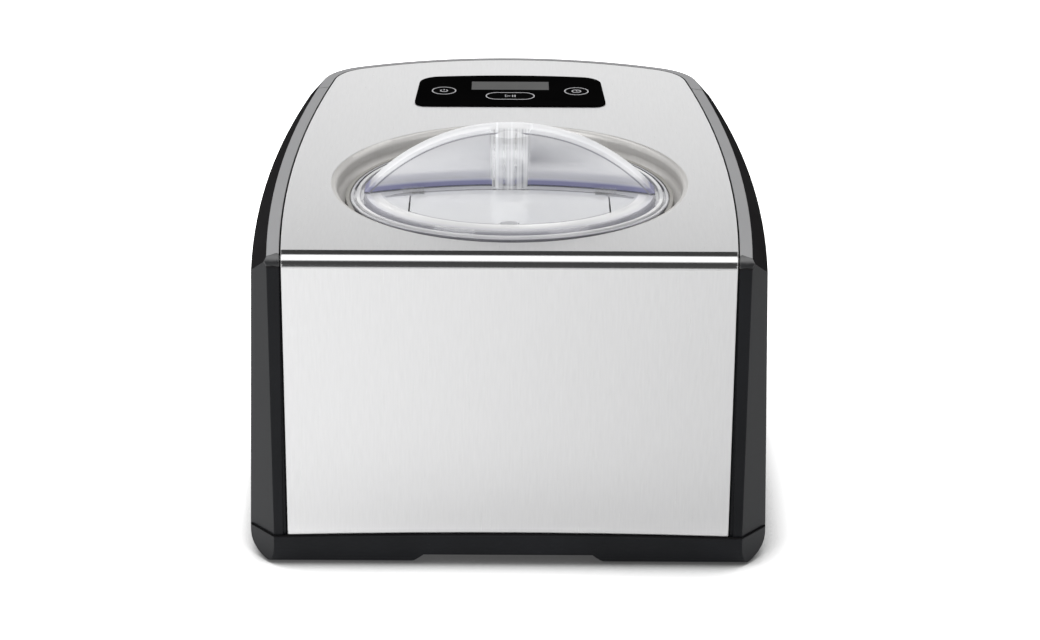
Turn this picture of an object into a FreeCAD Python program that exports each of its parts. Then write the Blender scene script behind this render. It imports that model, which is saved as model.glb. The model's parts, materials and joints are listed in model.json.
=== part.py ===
"""Ice cream maker with its own compressor, as separate solids. Millimetres, +Z up, front towards -Y.

The origin is on the table, under the middle of the machine.
"""
import FreeCAD, Part
import math
import os

Vector = FreeCAD.Vector
UP = Vector(0, 0, 1)

# Plan outline of the steel top: one arc each side, one arc at the back, a tangent arc at each rear corner
top_half_width = 140.0
side_widest_y = -88.0
side_radius = 1592.0
back_y = 191.0
back_radius = 257.0
rear_corner_radius = 33.0

# Steel cover: front and top bent from one sheet
top_height = 202.0
front_y = -212.0
sheet = 1.0
bend_depth = 15.0
bend_drop = 6.5
cover_gap = 1.0
cover_gap_depth = 1.6
groove_at_foot = 3.0

# Black side and rear covers: offsets are measured outwards from the steel top's outline
land_offset = 8.5
land_drop = 1.0
shoulder_offset = 18.0
shoulder_drop = 12.0
foot_offset = 23.0
cover_wall = 3.0
ledge_width = 6.0
seam_y = 125.0
seam_gap = 0.5
vent_width = 4.0
vent_pitch = 9.0
vent_low = 48.0
vent_high = 128.0
side_vent_first_y = 44.0
side_vent_count = 9
rear_vent_count = 13

# Base tray
base_height = 20.0
base_wide_height = 15.0
base_front_proud = 2.0
base_floor_low = 8.0
base_floor = 3.0
base_wall = 4.0
skirt_low = 1.5
skirt_tuck_offset = 11.0
skirt_tuck_front = 6.0
skirt_width = 5.0
skirt_steps = 6
arch_half_low = 61.0
arch_half_high = 52.0
lip_rise = 2.0
lip_thickness = 1.6

# Rubber feet
foot_radius = 13.0
foot_margin = 4.0
foot_front_y = -172.0
foot_rear_y = 112.0

# Recess, lid seat and bayonet, all round the bowl's axis
bowl_y = -70.5
dish_edge_round = 3.5
dish_floor_round = 5.0
dish_floor_width = 0.5
dish_depth = 13.0
dish_gap = 0.3
collar_height = 8.0
collar_margin = 0.2
bayonet_wall = 0.9
bayonet_lip_rise = 3.2
bayonet_lip = 1.4
bayonet_count = 3
bayonet_notch_deg = 24.0
lug_reach = 1.4
lug_deg = 14.0
running_gap = 0.4
shaft_clearance = 0.06

# Bowl and the well that it stands in
bowl_inner = 82.0
bowl_wall = 1.5
bowl_rim_width = 6.0
bowl_rim_thickness = 1.5
bowl_cone_outer = 12.0
bowl_cone_rise = 40.0
well_gap = 1.0
well_wall = 1.2
evaporator_turns = 7
evaporator_tube = 3.0
evaporator_header = 2.2
foam_thickness = 30.0
foam_floor = 7.8
foam_gap = 0.5
fit_gap = 0.1

# Chassis plate on the posts of the base
plate_thickness = 2.5
plate_margin = 14.0
post_radius = 8.0
post_margin = 6.0

# Gear train: module and teeth of the two equal stages
gear_module = 1.25
wheel_teeth = 48
pinion_teeth = 12
pressure_angle = 20.0
addendum_share = 0.7
dedendum_share = 1.0
backlash = 0.3
gear_width = 6.0
gear_layer_gap = 1.0
gearbox_wall = 2.5
gearbox_air = 2.0
axle_radius = 3.0
drive_shaft_radius = 6.0
journal_step = 1.0
drive_shaft_rise = 16.0
drive_square = 8.0
drive_square_length = 12.0
bush_wall = 3.5
bush_rise = 6.0
seal_height = 4.0
motor_radius = 27.0
motor_length = 26.0
motor_floor_gap = 2.5
motor_shaft_radius = 2.5
motor_hole_margin = 1.0

# Mixing paddle
paddle_hub_gap = 1.2
paddle_hub_wall = 2.6
paddle_reach_gap = 2.0
paddle_bar = 5.0
paddle_bar_width = 9.0
paddle_low_gap = 2.0
paddle_top_gap = 15.0
paddle_cap = 5.0

# Lid, its handle, hub and flap
lid_radius = 101.5
lid_rim_width = 1.4
lid_rim_rise = 4.2
lid_groove_width = 0.6
lid_groove_rise = 2.9
lid_ring_width = 2.2
lid_ring_rise = 4.8
lid_trough_width = 1.8
lid_trough_rise = 3.2
lid_slope = 0.6
lid_edge_slope = 1.6
lid_plate = 2.3
lid_plate_rise = 6.8
lid_dome = 6.0
lid_skirt = 2.2
lid_tilt_deg = 4.5
fin_end_gap = 9.0
fin_foot_rise = 7.5
fin_crown_rise = 50.6
fin_thickness = 17.0
fin_wall = 2.2
fin_edge_round = 2.6
fin_root = 1.6
column_radius = 14.5
column_dome = 4.0
dimple_radius = 4.5
dimple_depth = 1.5
lid_hub_radius = 9.0
lid_hub_drop = 12.4
lid_hub_flange = 12.5
lid_hub_plate = 2.0
lid_hub_length = 38.0
flap_half_width = 62.0
flap_back_gap = 9.0
flap_front_margin = 10.5
flap_gap = 1.0
flap_swing_gap = 2.5
flap_pin_radius = 1.5
flap_pin_rise = 1.6
flap_knuckle_radius = 3.0
flap_knuckle = 8.0
flap_ear = 5.0
notch_half_width = 7.0
notch_depth = 5.0

# Control panel
panel_half_width = 66.0
panel_rear_half_width = 63.0
panel_front_y = 83.0
panel_rear_y = 151.0
panel_rear_sag = 5.0
panel_corner = 8.0
panel_rear_corner = 15.0
panel_proud = 0.9
panel_lip = 3.0
panel_plug = 3.0
display_width = 54.0
display_depth = 19.0
display_y = 127.0
display_thickness = 2.0
round_key_radius = 9.0
round_key_x = 46.0
round_key_y = 114.0
oval_key_half_length = 17.5
oval_key_radius = 8.5
oval_key_y = 102.5
key_gap = 0.35
key_proud = 0.25
key_travel = 0.6
key_flange = 1.2
key_flange_thickness = 1.2
key_mat_thickness = 2.0
key_mat_dome = 2.5
board_thickness = 1.6

# Refrigeration
compressor_x = -68.0
compressor_y = 112.0
compressor_radius = 54.0
compressor_headroom = 54.0
compressor_dome = 26.0
compressor_foot = 3.0
terminal_rise = 37.0
grommet_radius = 8.0
grommet_height = 12.0
stud_radius = 3.0
condenser_side_gap = 36.0
condenser_depth = 20.0
condenser_y = 88.0
condenser_length = 92.0
condenser_lift = 13.0
condenser_rise = 122.0
condenser_tube = 3.5
condenser_rows = 6
fin_count = 21
fin_sheet = 1.0
fan_radius = 42.0
fan_tip_gap = 2.0
shroud_plate = 2.0
shroud_ring = 14.0
fan_hub_radius = 13.0
fan_hub_length = 12.0
fan_blades = 5
fan_blade = 1.6
fan_pitch_deg = 35.0
fan_motor_radius = 19.0
fan_motor_length = 18.0
fan_shaft_radius = 2.0
drier_radius = 9.0
drier_neck = 1.0
drier_length = 70.0
drier_x = 26.0
drier_y = 165.0
drier_lift = 35.0
pipe_radius = 3.0
pipe_bend = 10.0
stub_radius = 4.0
stub_rise = 10.0

# Electrics
power_board_x = 22.0
power_board_y = 96.0
power_board_width = 62.0
power_board_depth = 58.0
standoff_height = 21.0
standoff_radius = 3.5
gland_rise = 18.0
gland_hole = 3.6
gland_outer = 8.0
gland_flange = 11.0
gland_flange_thickness = 3.0
gland_length = 16.0

# Screws
screw_radius = 2.0
screw_head_radius = 4.0
screw_head = 2.5
screw_length = 10.0


# Sizes that follow from the ones above
shoulder_height = top_height - shoulder_drop
floor_top = base_floor_low + base_floor
dish_floor_height = top_height - dish_depth
seat_height = dish_floor_height - sheet
lid_low = seat_height + running_gap
lug_radius = lid_radius + lug_reach
groove_radius = lug_radius + running_gap
dish_inner = groove_radius + bayonet_wall + dish_gap
dish_wall_radius = dish_inner + dish_floor_width + dish_floor_round
dish_edge_radius = dish_wall_radius + dish_edge_round
collar_low = seat_height - collar_height
bowl_outer = bowl_inner + bowl_wall
bowl_rim_radius = bowl_inner + bowl_rim_width
bowl_rim_high = seat_height - running_gap
bowl_rim_low = bowl_rim_high - bowl_rim_thickness
motor_low = floor_top + motor_floor_gap
gearbox_low = motor_low + motor_length
gearbox_floor_top = gearbox_low + gearbox_wall
idler_low = gearbox_floor_top + gear_layer_gap
output_low = idler_low + gear_width + gear_layer_gap
plate_low = output_low + gear_width + gearbox_air
plate_top = plate_low + plate_thickness
well_floor_low = plate_top + foam_floor
well_floor_top = well_floor_low + well_wall
bowl_low = well_floor_top + well_gap
bowl_floor = bowl_low + bowl_wall
cone_top = bowl_floor + bowl_cone_rise
well_inner = bowl_outer + well_gap
well_outer = well_inner + well_wall
evaporator_radius = well_outer + fit_gap + evaporator_tube
foam_inner = evaporator_radius + evaporator_tube + foam_gap
foam_outer = foam_inner + foam_thickness
plate_radius = foam_outer + plate_margin
post_circle = foam_outer + post_margin
bush_radius = drive_shaft_radius + bush_wall
bush_top = well_floor_top + bush_rise
shaft_top = cone_top + drive_shaft_rise
square_low = shaft_top - drive_square_length
centre_distance = gear_module * (wheel_teeth + pinion_teeth) / 2
idler_x = -centre_distance
motor_x = -2 * centre_distance
wheel_tip = gear_module * (wheel_teeth / 2 + addendum_share)
gearbox_inner = wheel_tip + gearbox_air
gearbox_outer = gearbox_inner + gearbox_wall
paddle_top = bowl_rim_high - paddle_top_gap
lid_steps_width = lid_rim_width + lid_groove_width + lid_ring_width + lid_trough_width + 4 * lid_slope
trough_radius = lid_radius - lid_steps_width
plate_rim_radius = trough_radius - lid_edge_slope
fin_half_length = lid_radius - fin_end_gap
fin_foot = lid_low + fin_foot_rise
fin_crown = lid_low + fin_crown_rise
hub_low = lid_low - lid_hub_drop
hub_top = hub_low + lid_hub_length
fin_front = bowl_y - fin_thickness / 2
hinge_y = fin_front - flap_back_gap
flap_front_radius = plate_rim_radius - flap_front_margin
panel_top = top_height + panel_proud
panel_under = top_height - panel_plug
key_top = panel_top + key_proud
key_flange_high = panel_under - running_gap
key_low = key_flange_high - key_flange_thickness
dome_top = key_low - key_travel - running_gap
mat_top = dome_top - key_mat_dome
board_top = mat_top - key_mat_thickness
compressor_low = floor_top + grommet_height - compressor_foot
compressor_high = top_height - compressor_headroom
grommet_circle = compressor_radius - grommet_radius / 4
stub_top = compressor_high + stub_rise
condenser_x = top_half_width - condenser_side_gap
condenser_low = floor_top + condenser_lift
fan_z = condenser_low + condenser_rise / 2
fan_front_x = condenser_x - shroud_plate
fan_rear_x = fan_front_x - fan_hub_length
ring_edge_x = fan_front_x - shroud_ring
drier_low = floor_top + drier_lift
board_low = floor_top + standoff_height
gland_height = base_height + gland_rise


def cylinder(radius, low, high, x=0.0, y=0.0):
    """Upright cylinder between two heights."""
    return Part.makeCylinder(radius, high - low, Vector(x, y, low))


def ring(inner, outer, low, high, x=0.0, y=0.0):
    """Upright tube between two heights."""
    return cylinder(outer, low, high, x, y).cut(cylinder(inner, low, high, x, y))


def block(x0, x1, y0, y1, z0, z1):
    """Box between two corners."""
    return Part.makeBox(x1 - x0, y1 - y0, z1 - z0, Vector(x0, y0, z0))


def turned(points, x=0.0, y=0.0):
    """Solid of revolution about the upright axis at (x, y), from (radius, height) points or arc triples.

    A point may be followed by a middle point marked "arc", which bends the stretch to the next point.
    """
    edges = []
    corners = list(points) + [points[0]]
    spot = 0
    while spot < len(corners) - 1:
        start = Vector(corners[spot][0], 0, corners[spot][1])
        if len(corners[spot + 1]) == 3:
            middle = Vector(corners[spot + 1][0], 0, corners[spot + 1][1])
            end = Vector(corners[spot + 2][0], 0, corners[spot + 2][1])
            edges.append(Part.Arc(start, middle, end).toShape())
            spot += 2
        else:
            end = Vector(corners[spot + 1][0], 0, corners[spot + 1][1])
            edges.append(Part.LineSegment(start, end).toShape())
            spot += 1
    solid = Part.Face(Part.Wire(edges)).revolve(Vector(0, 0, 0), UP, 360)
    solid.translate(Vector(x, y, 0))
    return solid


def arc_middle(centre_r, centre_z, radius, angle_deg):
    """Middle point of an arc in a turned profile, marked as one."""
    angle = math.radians(angle_deg)
    return (centre_r + radius * math.cos(angle), centre_z + radius * math.sin(angle), "arc")


def flat_prism(points, direction):
    """Prism from a closed run of points, drawn along a direction."""
    wire = Part.makePolygon(list(points) + [points[0]])
    return Part.Face(wire).extrude(direction)


def fused(solids):
    """One solid from several that touch or overlap."""
    body = solids[0]
    if len(solids) > 1:
        body = body.multiFuse(solids[1:])
    return body.removeSplitter()


def mirrored_x(shape):
    """Copy on the other side of the middle plane."""
    return shape.mirror(Vector(0, 0, 0), Vector(1, 0, 0))


def save(name, shape):
    """Write one piece, or one group of equal pieces, under its name."""
    shape.exportStep("parts/" + name + ".step")


def corner_centre():
    """Centre of the rear corner arc, which is tangent inside the side arc and the back arc."""
    side = Vector(top_half_width - side_radius, side_widest_y, 0)
    back = Vector(0, back_y - back_radius, 0)
    to_side = side_radius - rear_corner_radius
    to_back = back_radius - rear_corner_radius
    between = back - side
    distance = between.Length
    along = (to_side ** 2 - to_back ** 2 + distance ** 2) / (2 * distance)
    across = math.sqrt(to_side ** 2 - along ** 2)
    unit = between * (1 / distance)
    return side + unit * along + Vector(-unit.y, unit.x, 0) * across


def half_width(y, offset=0.0):
    """Half width of the plan outline at y, the outline grown by an offset."""
    return top_half_width - side_radius + math.sqrt((side_radius + offset) ** 2 - (y - side_widest_y) ** 2)


def outline(offset, z, y_front):
    """Closed plan outline at height z, grown by an offset and cut straight at the front."""
    lift = Vector(0, 0, z)
    side = Vector(top_half_width - side_radius, side_widest_y, 0)
    back = Vector(0, back_y - back_radius, 0)
    corner = corner_centre()

    def outwards(centre, through, radius):
        ray = through - centre
        return centre + ray * (radius / ray.Length) + lift

    def other_side(point):
        return Vector(-point.x, point.y, point.z)

    front = Vector(half_width(y_front, offset), y_front, z)
    side_end = outwards(side, corner, side_radius + offset)
    back_end = outwards(back, corner, back_radius + offset)
    corner_middle = outwards(corner, (side_end + back_end) * 0.5 - lift, rear_corner_radius + offset)
    middle_y = (front.y + side_end.y) / 2
    side_middle = Vector(half_width(middle_y, offset), middle_y, z)
    back_middle = Vector(0, back_y + offset, z)
    edges = [
        Part.Arc(front, side_middle, side_end),
        Part.Arc(side_end, corner_middle, back_end),
        Part.Arc(back_end, back_middle, other_side(back_end)),
        Part.Arc(other_side(back_end), other_side(corner_middle), other_side(side_end)),
        Part.Arc(other_side(side_end), other_side(side_middle), other_side(front)),
        Part.LineSegment(other_side(front), front),
    ]
    return Part.Wire([edge.toShape() for edge in edges])


def plan_prism(offset, low, high, y_front):
    """Upright prism of the plan outline."""
    return Part.Face(outline(offset, low, y_front)).extrude(Vector(0, 0, high - low))


def plan_loft(sections):
    """Solid with straight walls through plan outlines given as (offset, height, front y)."""
    return Part.makeLoft([outline(*section) for section in sections], True, True)


def bent_block(inset):
    """All behind the front and under the top, with the long bend between them, inset from the face."""
    y0 = front_y + inset
    z1 = top_height - inset
    depth = bend_depth - inset
    drop = bend_drop - inset
    reach = 2 * top_half_width
    deep = back_y + 2 * foot_offset
    foot = Vector(-reach, y0, z1 - drop)
    head = Vector(-reach, y0 + depth, z1)
    ellipse = Part.Ellipse(foot, head, Vector(-reach, y0 + depth, z1 - drop))
    low = -base_height
    points = [head, Vector(-reach, deep, z1), Vector(-reach, deep, low), Vector(-reach, y0, low), foot]
    edges = [Part.ArcOfEllipse(ellipse, 0, math.pi / 2).toShape()]
    for start, end in zip(points[:-1], points[1:]):
        edges.append(Part.LineSegment(start, end).toShape())
    return Part.Face(Part.Wire(edges)).extrude(Vector(2 * reach, 0, 0))


def corner_wedge(face_y, inset):
    """What the slanted front corner takes off on the +X side, the slant set inwards by an inset."""
    run = shoulder_offset - land_offset
    rise = top_height - land_drop - shoulder_height
    slant = math.hypot(run, rise)
    x0 = half_width(front_y, land_offset) - inset * rise / slant
    y0 = face_y + inset * run / slant
    reach = 6.0 * foot_offset / slant
    points = [
        Vector(x0 - reach * run, y0 - reach * rise, -base_height),
        Vector(x0 + reach * run, y0 + reach * rise, -base_height),
        Vector(x0 + reach * run, y0 - reach * rise, -base_height),
    ]
    return flat_prism(points, Vector(0, 0, top_height + 2 * base_height))


def without_corners(shape, face_y, inset):
    """A shape with both slanted front corners taken off."""
    wedge = corner_wedge(face_y, inset)
    return shape.cut(wedge).cut(mirrored_x(wedge))


def housing_shell():
    """Side and rear covers before they are parted: border, slanted corners, wall, ledge under the steel."""
    far_front = front_y - foot_offset
    outer = plan_loft([
        (foot_offset, base_height, front_y),
        (shoulder_offset, shoulder_height, front_y),
        (land_offset, top_height - land_drop, front_y),
        (0.0, top_height, front_y),
    ])
    outer = without_corners(outer.common(bent_block(0.0)), front_y, 0.0)
    inner_front = front_y + sheet + cover_wall
    cavity = plan_loft([
        (foot_offset - cover_wall, base_height, inner_front),
        (shoulder_offset - cover_wall, shoulder_height - cover_wall / 2, inner_front),
        (land_offset - cover_wall, top_height - sheet - cover_wall, inner_front),
    ])
    cavity = without_corners(cavity, front_y, cover_wall)
    steel_seat = plan_prism(cover_gap, base_height, top_height + sheet, far_front).cut(bent_block(sheet))
    window = plan_prism(-ledge_width, base_height, top_height + sheet, far_front)
    gap_ring = plan_prism(cover_gap, base_height, top_height + sheet, far_front)
    gap_ring = gap_ring.cut(plan_prism(0.0, base_height, top_height + sheet, far_front))
    gap_ring = gap_ring.cut(bent_block(sheet + cover_gap_depth))
    shell = outer.cut(cavity).cut(steel_seat).cut(window).cut(gap_ring)
    groove_top = half_width(front_y, cover_gap)
    groove_foot = half_width(front_y, groove_at_foot)
    groove = flat_prism([
        Vector(groove_top - ledge_width, far_front, top_height),
        Vector(groove_top, far_front, top_height),
        Vector(groove_foot, far_front, base_height),
        Vector(groove_foot - ledge_width, far_front, base_height),
    ], Vector(0, foot_offset + sheet, 0))
    return shell.cut(groove).cut(mirrored_x(groove))


def side_vents():
    """Upright vent slots through the right wall."""
    slots = []
    for number in range(side_vent_count):
        y = side_vent_first_y + number * vent_pitch
        wall_x = half_width(y)
        slots.append(block(wall_x, wall_x + 2 * foot_offset, y, y + vent_width, vent_low, vent_high))
    return Part.makeCompound(slots)


def rear_vents():
    """Upright vent slots through the rear wall, high up over the cord gland."""
    slots = []
    for number in range(rear_vent_count):
        x = (number - (rear_vent_count - 1) / 2) * vent_pitch
        slots.append(block(x - vent_width / 2, x + vent_width / 2, back_y - 2 * foot_offset,
                           back_y + 2 * foot_offset, vent_low + vent_pitch, vent_high))
    return Part.makeCompound(slots)


def covers():
    """Right side cover, left side cover and rear cover, parted at the seam."""
    shell = housing_shell()
    reach = 2 * top_half_width
    low = 0.0
    high = top_height + sheet
    side_space = block(0, reach, front_y - sheet, seam_y - seam_gap / 2, low, high)
    rear_space = block(-reach, reach, seam_y + seam_gap / 2, back_y + 2 * foot_offset, low, high)
    right = shell.common(side_space).cut(side_vents())
    rear = shell.common(rear_space).cut(rear_vents())
    inside = Vector(0, back_y - foot_offset / 2, gland_height)
    hole = Part.makeCylinder(gland_outer, 2 * foot_offset, inside, Vector(0, 1, 0))
    return right, mirrored_x(right), rear.cut(hole)


def skirt_tuck(height):
    """Share of the skirt's tuck at a height: a quarter ellipse, none where widest and all at its foot."""
    share = (base_wide_height - height) / (base_wide_height - skirt_low)
    return 1 - math.sqrt(1 - share ** 2)


def skirt_offset(height):
    """Outward offset of the base's rounded skirt at a height."""
    return foot_offset - (foot_offset - skirt_tuck_offset) * skirt_tuck(height)


def foot_spots():
    """Centres of the four rubber feet, just inside the skirt."""
    spots = []
    for y in (foot_front_y, foot_rear_y):
        x = half_width(y, skirt_tuck_offset - skirt_width) - foot_radius - foot_margin
        spots += [(x, y), (-x, y)]
    return spots


def post_spots():
    """Centres of the four posts under the chassis plate."""
    spots = []
    for number in range(4):
        angle = math.radians(45 + 90 * number)
        spots.append((post_circle * math.cos(angle), bowl_y + post_circle * math.sin(angle)))
    return spots


def base_tray():
    """Base moulding: rounded skirt, floor, rim, arch between the front feet and lip before the steel."""
    face_y = front_y - base_front_proud
    sections = []
    for step in range(skirt_steps):
        angle = math.pi / 2 * step / skirt_steps
        height = base_wide_height - (base_wide_height - skirt_low) * math.cos(angle)
        sections.append((skirt_offset(height), height, face_y + skirt_tuck_front * skirt_tuck(height)))
    sections.append((foot_offset, base_wide_height, face_y))
    sections.append((foot_offset, base_height, face_y))
    outer = plan_loft(sections)
    outer = without_corners(outer, face_y, 0.0)
    inner_front = face_y + base_wall
    hollow = plan_loft([
        (skirt_offset(floor_top) - base_wall, floor_top, inner_front),
        (foot_offset - base_wall, base_wide_height, inner_front),
        (foot_offset - base_wall, base_height, inner_front),
    ])
    hollow = without_corners(hollow, face_y, base_wall)
    skirt_front = face_y + skirt_tuck_front + skirt_width
    under = plan_prism(skirt_tuck_offset - skirt_width, 0, base_floor_low, skirt_front)
    arch = flat_prism([
        Vector(-arch_half_low, face_y - skirt_width, 0),
        Vector(arch_half_low, face_y - skirt_width, 0),
        Vector(arch_half_high, face_y - skirt_width, base_floor_low),
        Vector(-arch_half_high, face_y - skirt_width, base_floor_low),
    ], Vector(0, skirt_tuck_front + 3 * skirt_width, 0))
    lip_end = half_width(front_y)
    lip_arc = Part.Arc(Vector(-lip_end, face_y, base_height), Vector(0, face_y, base_height + lip_rise),
                       Vector(lip_end, face_y, base_height)).toShape()
    lip_line = Part.makeLine(Vector(lip_end, face_y, base_height), Vector(-lip_end, face_y, base_height))
    lip = Part.Face(Part.Wire([lip_arc, lip_line])).extrude(Vector(0, lip_thickness, 0))
    posts = [cylinder(post_radius, floor_top, plate_low, x, y) for x, y in post_spots()]
    posts += [cylinder(standoff_radius, floor_top, board_low, x, y) for x, y in board_standoff_spots()]
    tray = fused([outer.cut(hollow).cut(under).cut(arch), lip] + posts)
    holes = [cylinder(screw_radius, plate_low - screw_length, plate_low, x, y) for x, y in post_spots()]
    holes += [cylinder(screw_radius, base_floor_low, floor_top, x, y) for x, y in foot_spots()]
    return tray.cut(Part.makeCompound(holes))


def rubber_feet():
    """Four feet under the floor, each with a sunk hole for its screw."""
    feet = []
    for x, y in foot_spots():
        foot = cylinder(foot_radius, 0, base_floor_low, x, y)
        foot = foot.cut(cylinder(screw_head_radius + running_gap, 0, base_floor_low / 2, x, y))
        feet.append(foot.cut(cylinder(screw_radius + fit_gap, 0, base_floor_low, x, y)))
    return Part.makeCompound(feet)


def screw(x, y, head_face, direction):
    """Screw whose head lies against a face; the shank runs from there along +Z or -Z."""
    head = cylinder(screw_head_radius, 0, screw_head)
    shank = cylinder(screw_radius - fit_gap, -screw_length + screw_head, 0)
    slot = block(-screw_head_radius, screw_head_radius, -screw_radius / 4, screw_radius / 4,
                 screw_head * 0.6, screw_head)
    body = fused([head, shank]).cut(slot)
    if direction > 0:
        body.rotate(Vector(0, 0, 0), Vector(1, 0, 0), 180)
    body.translate(Vector(x, y, head_face))
    return body


def foot_screws():
    """Four screws up through the feet into the floor."""
    return Part.makeCompound([screw(x, y, base_floor_low / 2, 1) for x, y in foot_spots()])


def plate_screws():
    """Four screws down through the chassis plate into the posts."""
    return Part.makeCompound([screw(x, y, plate_top, -1) for x, y in post_spots()])


def panel_outline(inset, low, high):
    """Prism of the control panel's outline: arched rear edge, rounded corners, set inwards by an inset."""
    front = panel_front_y + inset
    rear = panel_rear_y - inset
    half_front = panel_half_width - inset
    half_rear = panel_rear_half_width - inset
    rear_arc = Part.Arc(Vector(half_rear, rear - panel_rear_sag, low), Vector(0, rear, low),
                        Vector(-half_rear, rear - panel_rear_sag, low)).toShape()
    lines = [
        Part.makeLine(Vector(-half_rear, rear - panel_rear_sag, low), Vector(-half_front, front, low)),
        Part.makeLine(Vector(-half_front, front, low), Vector(half_front, front, low)),
        Part.makeLine(Vector(half_front, front, low), Vector(half_rear, rear - panel_rear_sag, low)),
    ]
    prism = Part.Face(Part.Wire([rear_arc] + lines)).extrude(Vector(0, 0, high - low))
    upright = [edge for edge in prism.Edges if edge.BoundBox.ZLength > (high - low) / 2]
    middle = (panel_front_y + panel_rear_y) / 2
    front = [edge for edge in upright if edge.BoundBox.YMax < middle]
    prism = prism.makeFillet(panel_corner - inset, front)
    corners = [edge for edge in prism.Edges if edge.BoundBox.ZLength > (high - low) / 2
               and edge.BoundBox.YMin > middle and abs(edge.BoundBox.Center.x) > half_rear / 2]
    return prism.makeFillet(panel_rear_corner - inset, corners)


def steel_cover():
    """Steel front and top in one bent sheet, with the pressed round dish and the panel's window."""
    far_front = front_y - foot_offset
    cover = plan_prism(0.0, base_height, top_height + sheet, far_front)
    cover = cover.common(bent_block(0.0)).cut(bent_block(sheet))
    cover = cover.cut(cylinder(dish_edge_radius, top_height - 2 * sheet, top_height + sheet, 0, bowl_y))
    cover = cover.cut(panel_outline(panel_lip, top_height - 2 * sheet, top_height + sheet))
    edge_z = top_height - dish_edge_round
    floor_z = dish_floor_height + dish_floor_round
    floor_r = dish_wall_radius - dish_floor_round
    dish = turned([
        (dish_edge_radius, top_height),
        arc_middle(dish_edge_radius, edge_z, dish_edge_round, 135),
        (dish_wall_radius, edge_z),
        (dish_wall_radius, floor_z),
        arc_middle(floor_r, floor_z, dish_floor_round, -45),
        (floor_r, dish_floor_height),
        (dish_inner, dish_floor_height),
        (dish_inner, dish_floor_height - sheet),
        (floor_r, dish_floor_height - sheet),
        arc_middle(floor_r, floor_z, dish_floor_round + sheet, -45),
        (dish_wall_radius + sheet, floor_z),
        (dish_wall_radius + sheet, edge_z),
        arc_middle(dish_edge_radius, edge_z, dish_edge_round - sheet, 135),
        (dish_edge_radius, top_height - sheet),
    ], 0, bowl_y)
    return fused([cover, dish])


def sector(inner, outer, low, high, middle_deg, width_deg):
    """Part of an upright tube round the bowl's axis, between two angles."""
    start = middle_deg - width_deg / 2
    tube = Part.makeCylinder(outer, high - low, Vector(0, 0, low), UP, width_deg)
    tube = tube.cut(cylinder(inner, low, high))
    tube.rotate(Vector(0, 0, 0), UP, start)
    tube.translate(Vector(0, bowl_y, 0))
    return tube


def bayonet_angles():
    """Where the lid's lugs stand at rest."""
    return [90 + 360 / bayonet_count * number for number in range(bayonet_count)]


def well_collar():
    """Ring from the well to the dish: seat for bowl and lid, with the bayonet's groove and lip."""
    lip_low = seat_height + bayonet_lip_rise
    lip_high = lip_low + bayonet_lip
    outer = groove_radius + bayonet_wall + collar_margin
    seat = ring(well_inner, outer, collar_low, seat_height, 0, bowl_y)
    rim_space = cylinder(bowl_rim_radius + running_gap, bowl_rim_low - running_gap, seat_height, 0, bowl_y)
    seat = seat.cut(rim_space)
    wall = ring(groove_radius, groove_radius + bayonet_wall, seat_height, lip_high, 0, bowl_y)
    lip = ring(lid_radius + running_gap, groove_radius + bayonet_wall, lip_low, lip_high, 0, bowl_y)
    for angle in bayonet_angles():
        lip = lip.cut(sector(lid_radius, groove_radius, lip_low, lip_high, angle, bayonet_notch_deg))
    return fused([seat, wall, lip])


def well():
    """Aluminium cup that the bowl stands in, with a hole for the shaft's bush."""
    cup = cylinder(well_outer, well_floor_low, collar_low, 0, bowl_y)
    cup = cup.cut(cylinder(well_inner, well_floor_top, collar_low, 0, bowl_y))
    return cup.cut(cylinder(bush_radius + fit_gap, well_floor_low, well_floor_top, 0, bowl_y))


def evaporator_levels():
    """Heights of the evaporator's rings, from just over the well's floor to just under the collar."""
    first = well_floor_top + 3 * evaporator_tube
    last = collar_low - 3 * evaporator_tube
    step = (last - first) / (evaporator_turns - 1)
    return [first + step * number for number in range(evaporator_turns)]


def evaporator():
    """Rings of copper tube round the well, joined by two upright headers."""
    levels = evaporator_levels()
    pieces = [Part.makeTorus(evaporator_radius, evaporator_tube, Vector(0, bowl_y, z)) for z in levels]
    for side in (1, -1):
        y = bowl_y + side * evaporator_radius
        pieces.append(cylinder(evaporator_header, levels[0], levels[-1], 0, y))
    return fused(pieces)


def insulation():
    """Foam jacket round and under the well, with two ways through for the refrigerant pipes."""
    foam = cylinder(foam_outer, plate_top, collar_low, 0, bowl_y)
    foam = foam.cut(cylinder(foam_inner, well_floor_low, collar_low, 0, bowl_y))
    foam = foam.cut(cylinder(bush_radius + fit_gap, plate_top, well_floor_low, 0, bowl_y))
    levels = evaporator_levels()
    for z in (levels[0], levels[-1]):
        way = Part.makeCylinder(pipe_radius + foam_gap, foam_outer, Vector(0, bowl_y, z), Vector(0, 1, 0))
        foam = foam.cut(way)
    return foam


def chassis_plate():
    """Round steel plate on the base's posts; the well stands on it and the gearbox hangs under it."""
    plate = cylinder(plate_radius, plate_low, plate_top, 0, bowl_y)
    holes = [cylinder(bush_radius + fit_gap, plate_low, plate_top, 0, bowl_y)]
    for x, y in post_spots() + gearbox_screw_spots():
        holes.append(cylinder(screw_radius, plate_low, plate_top, x, y))
    return plate.cut(Part.makeCompound(holes))


def bowl():
    """Removable bowl: flat floor, turned-out rim, hollow cone in the middle for the drive shaft."""
    cone_inner = bowl_cone_outer - bowl_wall
    return turned([
        (cone_inner, bowl_low),
        (bowl_outer, bowl_low),
        (bowl_outer, bowl_rim_low),
        (bowl_rim_radius, bowl_rim_low),
        (bowl_rim_radius, bowl_rim_high),
        (bowl_inner, bowl_rim_high),
        (bowl_inner, bowl_floor),
        (bowl_cone_outer, bowl_floor),
        (bowl_cone_outer, cone_top),
        (cone_inner, cone_top),
    ], 0, bowl_y)


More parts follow.
